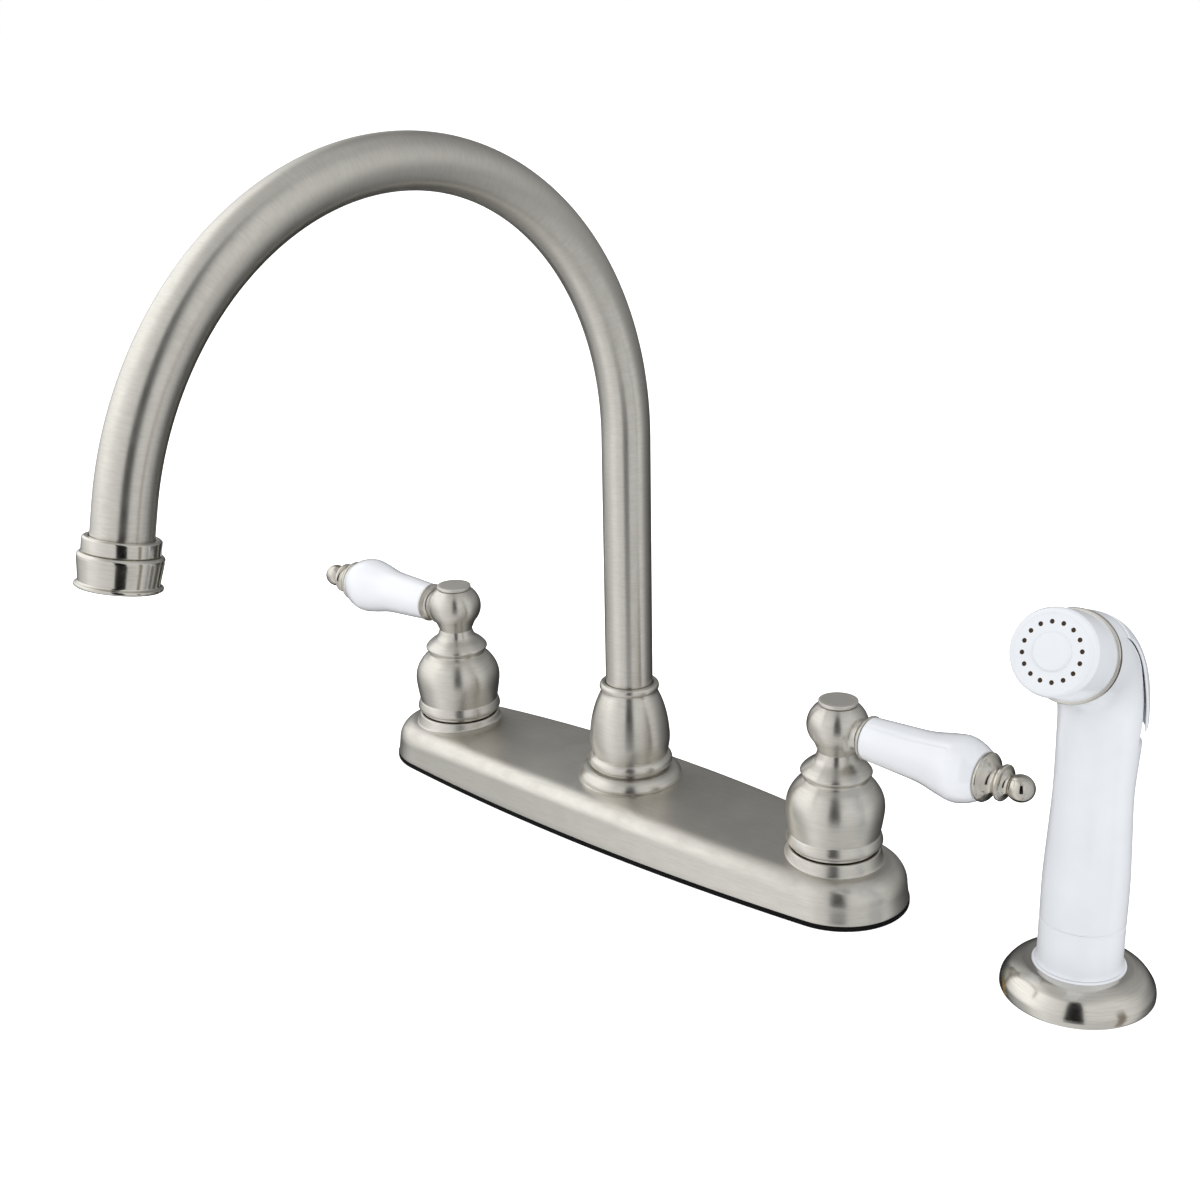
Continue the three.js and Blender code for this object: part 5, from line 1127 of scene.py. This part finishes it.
ESCUTCHEON_OUTLINE = [
    (25.6, 0.0), (25.9, 0.0, 0.15),
    *curve([(26.2, 0.6), (26.15, 2.2), (25.5, 4.3), (22.8, 7.9), (18.8, 10.2), (16.3, 10.68)], 36),
    (15.8, 10.7, 0.2), (15.8, 9.5), (12.9, 9.5), (12.9, 7.9), (18.2, 7.9), (23.6, 3.75), (24.2, 0.0)]
GUIDE_OUTLINE = [
    (11.0, -34.0), (12.0, -34.0, 0.2), (12.6, -33.2, 0.3), (12.6, 9.8), (15.75, 9.8), (15.85, 10.7, 0.5),
    (15.2, 11.15, 0.4), (12.4, 11.15), (11.0, 10.3, 0.3)]
SLEEVE_OUTLINE = [
    (10.7, 11.2), (15.0, 11.2, 0.15), *curve([(15.05, 11.5), (14.75, 12.0), (14.5, 12.8), (14.4, 14.0)], 8),
    (14.4, 27.0, 0.12), (14.2, 27.12, 0.08), (14.2, 28.1, 0.08), (14.0, 28.22, 0.05),
    (7.7, 28.22), (7.7, 25.0), (10.7, 25.0)]


class FAUCET_OT_spray_holder(bpy.types.Operator):
    """Domed escutcheon, white guide and the sleeve at the foot of the side spray"""

    bl_idname = "faucet.spray_holder"
    bl_label = "Spray holder"

    def execute(self, context):
        where = move(x=SPRAY_X)
        turned("spray_escutcheon_skin", ESCUTCHEON_OUTLINE, "half_polished_nickel", "spray_escutcheon", where,
               sides=128)
        turned("spray_guide_skin", GUIDE_OUTLINE, "white_plastic", "spray_guide", where)
        turned("spray_sleeve_skin", SLEEVE_OUTLINE, "white_plastic", "spray_base_sleeve", where)
        return {"FINISHED"}


# ---------------------------------------------------------------- handset and trigger of the side spray

# each station: how far forward, height, tilt, half width and half depth
GRIP_STATIONS = [
    (0.0, 28.3, 0.0, 14.4, 14.4), (0.0, 42.3, 0.0, 14.4, 14.4), (0.0, 57.0, 0.0, 13.8, 13.8),
    (0.0, 74.0, 0.0, 13.1, 13.1), (-0.9, 87.0, 0.0, 13.3, 14.3), (-1.8, 100.0, 0.0, 13.7, 15.6)]
HEAD_BEND, HEAD_RADIUS, HEAD_NECK = 30.0, 14.2, 11.0
TRIGGER_FOOT, TRIGGER_FRONT = 97.5, 18.4
TRIGGER_PIN, TRIGGER_SWING = (-12.9, 136.7), math.radians(4.4)
POCKET_DEPTH, POCKET_CLEARANCE, POCKET_LIP = 1.9, 0.08, math.radians(3)
PANEL_RISE, PANEL_CROWN, PANEL_THICKNESS = 0.85, 0.35, 1.2
# degrees past the trigger's edge at which a share of its middle starts, and over which it runs
CROWN_SHARE, SADDLE_SHARE, HOLLOW_SHARE = (2.0, 20.0), (10.0, 25.0), (25.0, 25.0)
EDGE_ANGLE, EDGE_RISE, EDGE_TILT, EDGE_RUN = 10.0, 27.0, 24.0, 40.0
NECK_FALL, RUNOUT_START, RUNOUT_LENGTH, FRONT_GAP = 0.55, 4.8, 2.4, 1.3
GRIP_STEPS, HEAD_STEPS, NECK_STEPS, SECTION_STEPS, PANEL_STEPS = 60, 36, 6, 144, 48


def spray_place():
    return move(x=SPRAY_X) @ turn(SPRAY_YAW, "Z")


def between(one, two, share):
    """The numbers that lie at a share of the way between two rows of numbers."""
    return tuple(a + (b - a) * share for a, b in zip(one, two))


def head_station(share):
    """Station at a share of the head's bend, which goes on from the last one of the grip."""
    forward, height, _, half_width, half_depth = GRIP_STATIONS[-1]
    tilt = math.radians(HEAD_TILT * share)
    return (forward * (1 - share) + HEAD_BEND * (1 - math.cos(tilt)), height + HEAD_BEND * math.sin(tilt),
            math.degrees(tilt), *between((half_width, half_depth), (HEAD_RADIUS, HEAD_RADIUS), share))


def neck_end():
    """Station at the front of the head, where the trim ring sits."""
    forward, height, tilt, *halves = head_station(1.0)
    lean = math.radians(tilt)
    return forward + HEAD_NECK * math.sin(lean), height + HEAD_NECK * math.cos(lean), tilt, *halves


def handset_stations():
    """Stations close enough together for a smooth skin."""
    head = [head_station((k + 1) / HEAD_STEPS) for k in range(HEAD_STEPS)]
    neck = [between(head[-1], neck_end(), (k + 1) / NECK_STEPS) for k in range(NECK_STEPS)]
    return curve(GRIP_STATIONS, GRIP_STEPS) + head + neck


def section_point(station, angle, inset=0.0):
    forward, height, tilt, half_width, half_depth = station
    lean = math.radians(tilt)
    back = (half_depth - inset) * math.sin(angle)
    return ((half_width - inset) * math.cos(angle), -forward + back * math.cos(lean),
            height + back * math.sin(lean))


def smooth(value):
    value = min(max(value, 0.0), 1.0)
    return value * value * (3 - 2 * value)


def side_angle(angle):
    """The angle round the handset from the nearer side; below zero in front of it."""
    level = angle if angle <= 1.5 * math.pi else angle - math.tau
    return min(level, math.pi - level)


def trigger_edge(station):
    """Angle round the handset at which the trigger's edge runs: low on the grip, higher over the head."""
    return math.radians(EDGE_ANGLE + EDGE_RISE * smooth((station[2] - EDGE_TILT) / EDGE_RUN))


def panel_share(station, side, start, run):
    """0 near the trigger's edge and 1 over its middle."""
    return smooth((math.degrees(side - trigger_edge(station)) - start) / run)


def panel_rise(station, side):
    """How far the trigger stands out of the handset; less toward the trim ring."""
    neck = smooth((station[0] - TRIGGER_FRONT) / (neck_end()[0] - TRIGGER_FRONT))
    return (PANEL_RISE + PANEL_CROWN * panel_share(station, side, *CROWN_SHARE)) * (1 - NECK_FALL * neck)


def pocket_share(station):
    """1 where the trigger moves, running out to 0 below its foot and ending with a step before its front."""
    if station[2] == 0.0:
        return smooth((station[1] - TRIGGER_FOOT + RUNOUT_START) / RUNOUT_LENGTH)
    return 1.0 if station[0] < TRIGGER_FRONT + FRONT_GAP else 0.0


def pocket_depth(station, side):
    """Depth that leaves room for the trigger when it is pressed, also where its edge sweeps over the side."""
    edge, radius = trigger_edge(station), station[4]
    _, y, z = section_point(station, max(side, edge))
    lean = math.radians(station[2])
    step = TRIGGER_SWING * (math.cos(lean) * (TRIGGER_PIN[1] - z) + math.sin(lean) * (y - TRIGGER_PIN[0]))
    step = max(step, 0.0)
    room = radius + step * math.sin(side) - math.sqrt(radius**2 - (step * math.cos(side)) ** 2)
    landing = math.atan2(radius * math.sin(edge) - step, radius * math.cos(edge))
    lip = smooth((side - landing) / POCKET_LIP + 1)
    return lip * (room + POCKET_CLEARANCE) + POCKET_DEPTH * panel_share(station, side, *SADDLE_SHARE)


def skin_depth(station, share, angle):
    """Depth of the pocket under the trigger, or minus the rise of the skin in front of it."""
    side = side_angle(angle)
    if share:
        return share * pocket_depth(station, side)
    risen = station[0] > TRIGGER_FRONT and side > trigger_edge(station)
    return -panel_rise(station, side) if risen else 0.0


def shell_mesh():
    """The handset's skin with the saddle in which the trigger moves sunk into its back."""
    shared_stations = [(station, pocket_share(station)) for station in handset_stations()]
    doubled = []
    for (one, share), (two, next_share) in zip(shared_stations, shared_stations[1:]):
        doubled.append((one, share))
        # two sections in one place where the saddle ends with a step
        if share - next_share == 1.0:
            middle = between(one, two, 0.5)
            doubled += [(middle, share), (middle, next_share)]
    doubled.append(shared_stations[-1])
    angles = [math.tau * k / SECTION_STEPS for k in range(SECTION_STEPS)]
    writer = MeshWriter()
    rings = []
    for station, share in doubled:
        depths = [skin_depth(station, share, angle) for angle in angles]
        rings.append(writer.ring([section_point(station, *place) for place in zip(angles, depths)]))
    writer.strips(*rings)
    writer.faces += [tuple(rings[0][::-1]), tuple(rings[-1])]
    return writer.mesh("white_plastic")


def trigger_mesh():
    """Thumb lever: a curved panel over the back half of the handset and of its head."""
    writer = MeshWriter()
    rings = []
    for station in handset_stations():
        if section_point(station, math.pi / 2)[2] < TRIGGER_FOOT or station[0] > TRIGGER_FRONT:
            continue
        edge = trigger_edge(station)
        outer, inner = [], []
        for n in range(PANEL_STEPS + 1):
            angle = edge + (math.pi - 2 * edge) * n / PANEL_STEPS
            side = side_angle(angle)
            hollow = PANEL_THICKNESS * panel_share(station, side, *HOLLOW_SHARE)
            outer.append(section_point(station, angle, -panel_rise(station, side)))
            inner.append(section_point(station, angle, hollow))
        rings.append(writer.ring(outer + inner[::-1]))
    writer.strips(*rings)
    for ring in (rings[0], rings[-1]):
        writer.faces += [(ring[n], ring[n + 1], ring[-n - 2], ring[-n - 1]) for n in range(PANEL_STEPS)]
    return writer.mesh("white_plastic")


def bevelled(mesh, width, segments):
    """The mesh with its sharp edges rounded by a width in millimetres."""
    piece = linked("bevelled", mesh)
    modifier = piece.modifiers.new("Rounding", "BEVEL")
    modifier.width, modifier.segments = width * MM, segments
    modifier.limit_method, modifier.angle_limit = "ANGLE", math.radians(50)
    return baked(piece)


class FAUCET_OT_spray_handset(bpy.types.Operator):
    """Curved white handset of the side spray and the thumb lever on its back"""

    bl_idname = "faucet.spray_handset"
    bl_label = "Spray handset"

    def execute(self, context):
        place_piece("spray_shell_skin", bevelled(shell_mesh(), 0.2, 2), "spray_shell", spray_place())
        place_piece("spray_trigger_skin", bevelled(trigger_mesh(), 0.35, 3), "spray_trigger", spray_place())
        return {"FINISHED"}


# ---------------------------------------------------------------- nozzle of the side spray

RING_OUTLINE = [
    (11.8, 0.1), (14.75, 0.1, 0.2), (15.0, 0.4, 0.2), (15.0, 1.9, 0.3), (14.7, 2.25, 0.2), (11.8, 2.25)]
NOZZLE_OUTLINE = [
    (11.6, 2.0), (14.0, 2.0, 0.2), (14.15, 2.5, 0.3), (13.75, 18.9, 1.5), (13.1, 20.8, 1.5),
    (12.0, 21.0, 0.5), (11.6, 20.95), (11.6, 18.8), (10.6, 18.8), (10.6, 17.6), (11.6, 17.6)]
FACE_OUTLINE = [(4.0, 18.9), (11.59, 18.9), (11.59, 20.95), (4.0, 20.95)]
SEAL_OUTLINE = [(4.2, 19.2), (11.3, 19.2), (11.3, 20.55), (4.2, 20.55)]
PLUG_OUTLINE = [
    (0.0, 14.8), (3.7, 14.8), (3.7, 20.97), (6.0, 20.97), (5.95, 21.1, 0.2), (5.4, 21.55, 0.6),
    (4.2, 21.64, 0.8), (0.0, 21.7)]


def nozzle_place():
    forward, height, *_ = neck_end()
    return spray_place() @ move(y=-forward, z=height) @ turn(HEAD_TILT, "X")


def face_mesh():
    """The spray's face with its circle of bored jets."""
    s = sizes()
    blank = turned_mesh(FACE_OUTLINE, "white_plastic")
    drop_uv(blank)
    return grown(blank, jets_tree, "white_plastic", {
        "Jets": s.jets, "Jet radius": s.jet_radius, "Jet circle": s.jet_circle})


class FAUCET_OT_spray_nozzle(bpy.types.Operator):
    """Trim ring, nozzle and bored face of the side spray"""

    bl_idname = "faucet.spray_nozzle"
    bl_label = "Spray nozzle"

    def execute(self, context):
        where = nozzle_place()
        turned("spray_ring_skin", RING_OUTLINE, "half_polished_nickel", "spray_trim_ring", where)
        turned("spray_nozzle_skin", NOZZLE_OUTLINE, "white_plastic", "spray_nozzle", where, sides=112)
        place_piece("spray_face_skin", face_mesh(), "spray_face", where)
        turned("spray_jet_seal", SEAL_OUTLINE, "jet_rubber", "spray_face", where, sides=48, replaces=False,
               slot="rubber")
        turned("spray_plug_skin", PLUG_OUTLINE, "white_plastic", "spray_face_plug", where, sides=72)
        return {"FINISHED"}


# ---------------------------------------------------------------- pieces inside and below the deck

# each thread: its node, the radius of the rod, its foot, its top and its place along X
THREADS = (
    ("hot_shank", 10.0, -51.0, -14.2, -PITCH), ("cold_shank", 10.0, -51.0, -14.2, PITCH),
    ("spray_guide", 12.5, -33.0, -13.6, SPRAY_X))
# section of a thread's ridge, in pitches out from the rod and along it
RIDGE_SECTION = ((-0.105, -0.38), (-0.105, 0.38), (0.231, 0.0456), (0.231, -0.0456))


def thread_mesh(radius, low, high, look):
    """A ridge wound round a rod between two heights."""
    pitch = sizes().thread_pitch / MM
    section = line_mesh([(x * pitch * MM, y * pitch * MM, 0.0) for x, y in RIDGE_SECTION], closed=True)
    mesh = grown(section, thread_tree, look, {
        "Pitch": pitch * MM, "Turns": (high - low) / pitch - 1.0, "Radius": radius * MM,
        "Foot": (low + pitch / 2) * MM})
    outwards(mesh)
    return mesh


class FAUCET_OT_threads(bpy.types.Operator):
    """Threads on the shanks and on the spray guide below the deck"""

    bl_idname = "faucet.threads"
    bl_label = "Threads"

    def execute(self, context):
        for node, radius, low, high, x in THREADS:
            mesh = thread_mesh(radius, low, high, SLOTS[node])
            place_piece(f"{node}_thread", mesh, node, move(x=x), replaces=False)
        return {"FINISHED"}


class FAUCET_OT_inner_parts(bpy.types.Operator):
    """Finishes of the pieces that are carried over from the CAD frame"""

    bl_idname = "faucet.inner_parts"
    bl_label = "Inner parts"

    def execute(self, context):
        for node, piece in frame["nodes"].items():
            for place in piece.material_slots:
                place.material = finish(SLOTS[node])
        return {"FINISHED"}


# ---------------------------------------------------------------- stage

CAMERA_PLACE = Vector((0.44026, -0.49908, 0.33247))
CAMERA_AZIMUTH, CAMERA_ELEVATION, CAMERA_ROLL = 42.474, 19.850, -1.141
CAMERA_FOCAL_PIXELS, PHOTO_PIXELS = 1773.66, 1200
CAMERA_AXIS_PIXEL = (597.48, 609.26)
WHITE = (1.0, 1.0, 1.0, 1.0)
WORLD_LIGHT, FLOOR_GLOW = 0.8, 0.72
FLOOR_RADIUS, FLOOR_HEIGHT = 12.0, -0.0002
# each lamp, with lengths in metres: name, place, target, side and power
LAMPS = (("key", (-0.9, -0.9, 1.3), (0.0, -0.05, 0.1), 1.0, 8.2),
         ("fill", (1.3, -0.2, 0.9), (0.05, -0.05, 0.1), 0.9, 4.6))
SLOT_OFFSET, SLOT_HEIGHT, SLOT_SIZE, SLOT_COLOUR = 0.015, 0.62, (0.28, 1.56), (0.006, 0.006, 0.007)
SEAM_ANGLE, SEAM_REACH, SEAM_HEIGHT, SEAM_SIZE, SEAM_COLOUR = 49, 0.8, -0.1, (0.14, 0.70), (0.26, 0.22, 0.18)
# the tent's radius in metres, its brightness overhead, and the sines of the heights between which its
# low stops run into the high ones, and those into the top
TENT_RADIUS, TENT_TOP, TENT_RISE, TENT_CLOSE = 2.5, 0.58, (-0.25, 0.30), (0.78, 0.95)
# brightness round the studio, in degrees to the right of the camera's side
TENT_LOW = [
    (-180, 0.03), (-142, 0.04), (-134, 0.12), (-120, 0.34), (-106, 0.48), (-95, 0.56), (-85, 0.64),
    (-72, 0.92), (-55, 0.98), (-42, 0.84), (-25, 0.78), (0, 0.72), (20, 0.68), (36, 0.66), (62, 0.82),
    (74, 0.68), (85, 0.38), (96, 0.22), (108, 0.13), (124, 0.07), (142, 0.03), (180, 0.03)]
TENT_HIGH = [
    (-180, 0.19), (-168, 0.24), (-156, 0.62), (-142, 1.36), (-80, 1.38), (-55, 1.02), (-30, 0.84), (0, 0.84),
    (60, 0.86), (80, 0.72), (98, 0.52), (118, 0.42), (138, 0.32), (166, 0.22), (180, 0.19)]


def toward_camera():
    """Level directions from the faucet to the camera and to the camera's right."""
    azimuth = math.radians(CAMERA_AZIMUTH)
    ahead = Vector((math.sin(azimuth), -math.cos(azimuth), 0.0))
    return ahead, Vector((math.cos(azimuth), math.sin(azimuth), 0.0))


def cleared(block):
    """The emptied node tree of a material or a world."""
    block.use_nodes = True
    block.node_tree.nodes.clear()
    return block.node_tree


def surface(tree, shader, kind="ShaderNodeOutputMaterial"):
    add_node(tree, kind, {"Surface": shader.outputs[0]})


def seen_directly(tree):
    """1 for rays of the camera, of reflections and through glass, and 0 for the rest."""
    path = tree.nodes.new("ShaderNodeLightPath").outputs
    seen = calc(tree, "MAXIMUM", path["Is Camera Ray"], path["Is Glossy Ray"])
    return calc(tree, "MAXIMUM", seen, path["Is Transmission Ray"])


def reflected_only(name, mesh, colour):
    """A glowing stage piece seen in reflections alone, so that it lights and shades nothing."""
    material = bpy.data.materials.new(name)
    tree = cleared(material)
    surface(tree, add_node(tree, "ShaderNodeEmission", {"Color": colour(tree)}))
    material.cycles.emission_sampling = "NONE"
    mesh.materials.append(material)
    piece = linked(name, mesh)
    piece.visible_camera = piece.visible_diffuse = piece.visible_shadow = False
    piece.visible_transmission = piece.visible_volume_scatter = False


def add_card(name, centre, normal, size, colour):
    """An upright studio card that only reflections see."""
    mesh = bpy.data.meshes.new(name)
    w, h = size[0] / 2, size[1] / 2
    mesh.from_pydata([(-w, -h, 0), (w, -h, 0), (w, h, 0), (-w, h, 0)], [], [(0, 1, 2, 3)])
    facing = Vector(normal).to_track_quat("Z", "Y").to_matrix().to_4x4()
    mesh.transform(Matrix.Translation(Vector(centre)) @ facing)
    reflected_only(name, mesh, lambda tree: (*colour, 1.0))


def add_cards():
    """A dark upright strip at the camera's place and a brown one farther to the right."""
    ahead, right = toward_camera()
    slot = CAMERA_PLACE - right * SLOT_OFFSET
    add_card("slot_card", (slot.x, slot.y, SLOT_HEIGHT), -ahead, SLOT_SIZE, SLOT_COLOUR)
    angle = math.radians(SEAM_ANGLE)
    seam = ahead * math.cos(angle) + right * math.sin(angle)
    add_card("seam_card", seam * SEAM_REACH + Vector((0.0, 0.0, SEAM_HEIGHT)), -seam, SEAM_SIZE, SEAM_COLOUR)


def tent_ramp(tree, share, stops):
    ramp = add_node(tree, "ShaderNodeValToRGB", {"Fac": share})
    elements = ramp.color_ramp.elements
    elements.remove(elements[1])
    for k, (degrees, value) in enumerate(stops):
        place = degrees / 360 + 0.5
        stop = elements[0] if k == 0 else elements.new(place)
        stop.position, stop.color = place, (value, value, value, 1.0)
    return ramp.outputs["Color"]


def vector_calc(tree, operation, *vectors):
    return add_node(tree, "ShaderNodeVectorMath", dict(enumerate(vectors)), operation=operation).outputs


def tent_colour(tree):
    """Bright at the left of the camera and overhead, dim low down at the right and behind."""
    way = vector_calc(tree, "NORMALIZE", object_place(tree))["Vector"]
    along, across = (vector_calc(tree, "DOT_PRODUCT", way, side)["Value"] for side in toward_camera())
    share = remap(tree, calc(tree, "ARCTAN2", across, along), 0.0, 1.0, -math.pi, math.pi)
    height = separate(tree, way)["Z"]
    low, high = (tent_ramp(tree, share, stops) for stops in (TENT_LOW, TENT_HIGH))
    sides = mix_colour(tree, remap(tree, height, 0.0, 1.0, *TENT_RISE), low, high)
    return mix_colour(tree, remap(tree, height, 0.0, 1.0, *TENT_CLOSE), sides, (*(TENT_TOP,) * 3, 1.0))


def add_tent():
    """A round studio tent that only reflections see."""
    mesh = bpy.data.meshes.new("tent")
    work = bmesh.new()
    bmesh.ops.create_uvsphere(work, u_segments=64, v_segments=32, radius=TENT_RADIUS)
    work.to_mesh(mesh)
    work.free()
    reflected_only("tent", mesh, tent_colour)


def add_camera(scene):
    data = bpy.data.cameras.new("Camera")
    azimuth, elevation, roll = (math.radians(v) for v in (CAMERA_AZIMUTH, CAMERA_ELEVATION, CAMERA_ROLL))
    ahead = Vector((-math.sin(azimuth) * math.cos(elevation), math.cos(azimuth) * math.cos(elevation),
                    -math.sin(elevation)))
    right = Vector((math.cos(azimuth), math.sin(azimuth), 0.0))
    up = right.cross(ahead)
    across = right * math.cos(roll) + up * math.sin(roll)
    upright = up * math.cos(roll) - right * math.sin(roll)
    pose = Matrix((across, upright, -ahead)).transposed().to_4x4()
    pose.translation = CAMERA_PLACE
    scene.camera = linked("Camera", data)
    scene.camera.matrix_world = pose
    data.sensor_fit, data.sensor_width = "HORIZONTAL", 36.0
    data.lens = CAMERA_FOCAL_PIXELS / PHOTO_PIXELS * data.sensor_width
    data.shift_x = (PHOTO_PIXELS / 2 - CAMERA_AXIS_PIXEL[0]) / PHOTO_PIXELS
    data.shift_y = (CAMERA_AXIS_PIXEL[1] - PHOTO_PIXELS / 2) / PHOTO_PIXELS
    data.clip_start, data.clip_end = 0.01, 50.0


def add_lamp(name, place, target, side, power):
    data = bpy.data.lights.new(name, "AREA")
    data.shape, data.size, data.size_y, data.energy = "RECTANGLE", side, side, power
    lamp = linked(name, data)
    lamp.location = place
    lamp.rotation_mode = "QUATERNION"
    lamp.rotation_quaternion = (Vector(target) - Vector(place)).to_track_quat("-Z", "Y")
    lamp.visible_glossy = False


def add_world(scene):
    """White to the camera and in reflections, and soft light for the rest."""
    scene.world = bpy.data.worlds.new("Studio")
    tree = cleared(scene.world)
    strength = remap(tree, seen_directly(tree), WORLD_LIGHT, 1.0)
    sky = add_node(tree, "ShaderNodeBackground", {"Color": WHITE, "Strength": strength})
    surface(tree, sky, "ShaderNodeOutputWorld")


def add_floor():
    """A matte white disc that glows a little where it is seen."""
    mesh = bpy.data.meshes.new("floor")
    ring = [(x, y, FLOOR_HEIGHT) for x, y in ring_points(0.0, FLOOR_RADIUS, 96)]
    mesh.from_pydata(ring, [], [tuple(range(len(ring)))])
    material = bpy.data.materials.new("floor")
    tree = cleared(material)
    matte = add_node(tree, "ShaderNodeBsdfDiffuse", {"Color": colours().floor})
    strength = calc(tree, "MULTIPLY", seen_directly(tree), FLOOR_GLOW)
    lift = add_node(tree, "ShaderNodeEmission", {"Color": WHITE, "Strength": strength})
    surface(tree, add_node(tree, "ShaderNodeAddShader", {0: matte.outputs[0], 1: lift.outputs[0]}))
    mesh.materials.append(material)
    floor = linked("floor", mesh)
    floor.visible_glossy = False


class FAUCET_OT_stage(bpy.types.Operator):
    """White floor, soft studio light, dark cards for the reflections and the camera"""

    bl_idname = "faucet.stage"
    bl_label = "Stage"

    def execute(self, context):
        context.scene.view_settings.view_transform = "Standard"
        add_camera(context.scene)
        add_world(context.scene)
        add_floor()
        for lamp in LAMPS:
            add_lamp(*lamp)
        add_tent()
        add_cards()
        return {"FINISHED"}


# ---------------------------------------------------------------- panel and registration

OPERATORS = (
    FAUCET_OT_stage, FAUCET_OT_inner_parts, FAUCET_OT_deck_plate, FAUCET_OT_hubs, FAUCET_OT_caps,
    FAUCET_OT_levers, FAUCET_OT_spout_base, FAUCET_OT_spout_tube, FAUCET_OT_outlet, FAUCET_OT_spray_holder,
    FAUCET_OT_spray_handset, FAUCET_OT_spray_nozzle, FAUCET_OT_threads)


class FAUCET_PT_panel(bpy.types.Panel):
    """Lists the faucet's pieces, sizes and colours"""

    bl_idname = "FAUCET_PT_panel"
    bl_label = "Kitchen faucet"
    bl_space_type = "VIEW_3D"
    bl_region_type = "UI"
    bl_category = "Faucet"

    def draw(self, context):
        for operator in OPERATORS:
            self.layout.operator(operator.bl_idname)
        for group in (context.scene.faucet_sizes, context.scene.faucet_colours):
            box = self.layout.box()
            for name in group.__annotations__:
                box.prop(group, name)


CLASSES = (FaucetSizes, FaucetColours, *OPERATORS, FAUCET_PT_panel)


def register():
    for made in CLASSES:
        bpy.utils.register_class(made)
    bpy.types.Scene.faucet_sizes = bpy.props.PointerProperty(type=FaucetSizes)
    bpy.types.Scene.faucet_colours = bpy.props.PointerProperty(type=FaucetColours)


def unregister():
    del bpy.types.Scene.faucet_colours
    del bpy.types.Scene.faucet_sizes
    for made in reversed(CLASSES):
        bpy.utils.unregister_class(made)


def main():
    register()
    for operator in OPERATORS:
        group, name = operator.bl_idname.split(".")
        getattr(getattr(bpy.ops, group), name)()


if __name__ == "__main__":
    main()
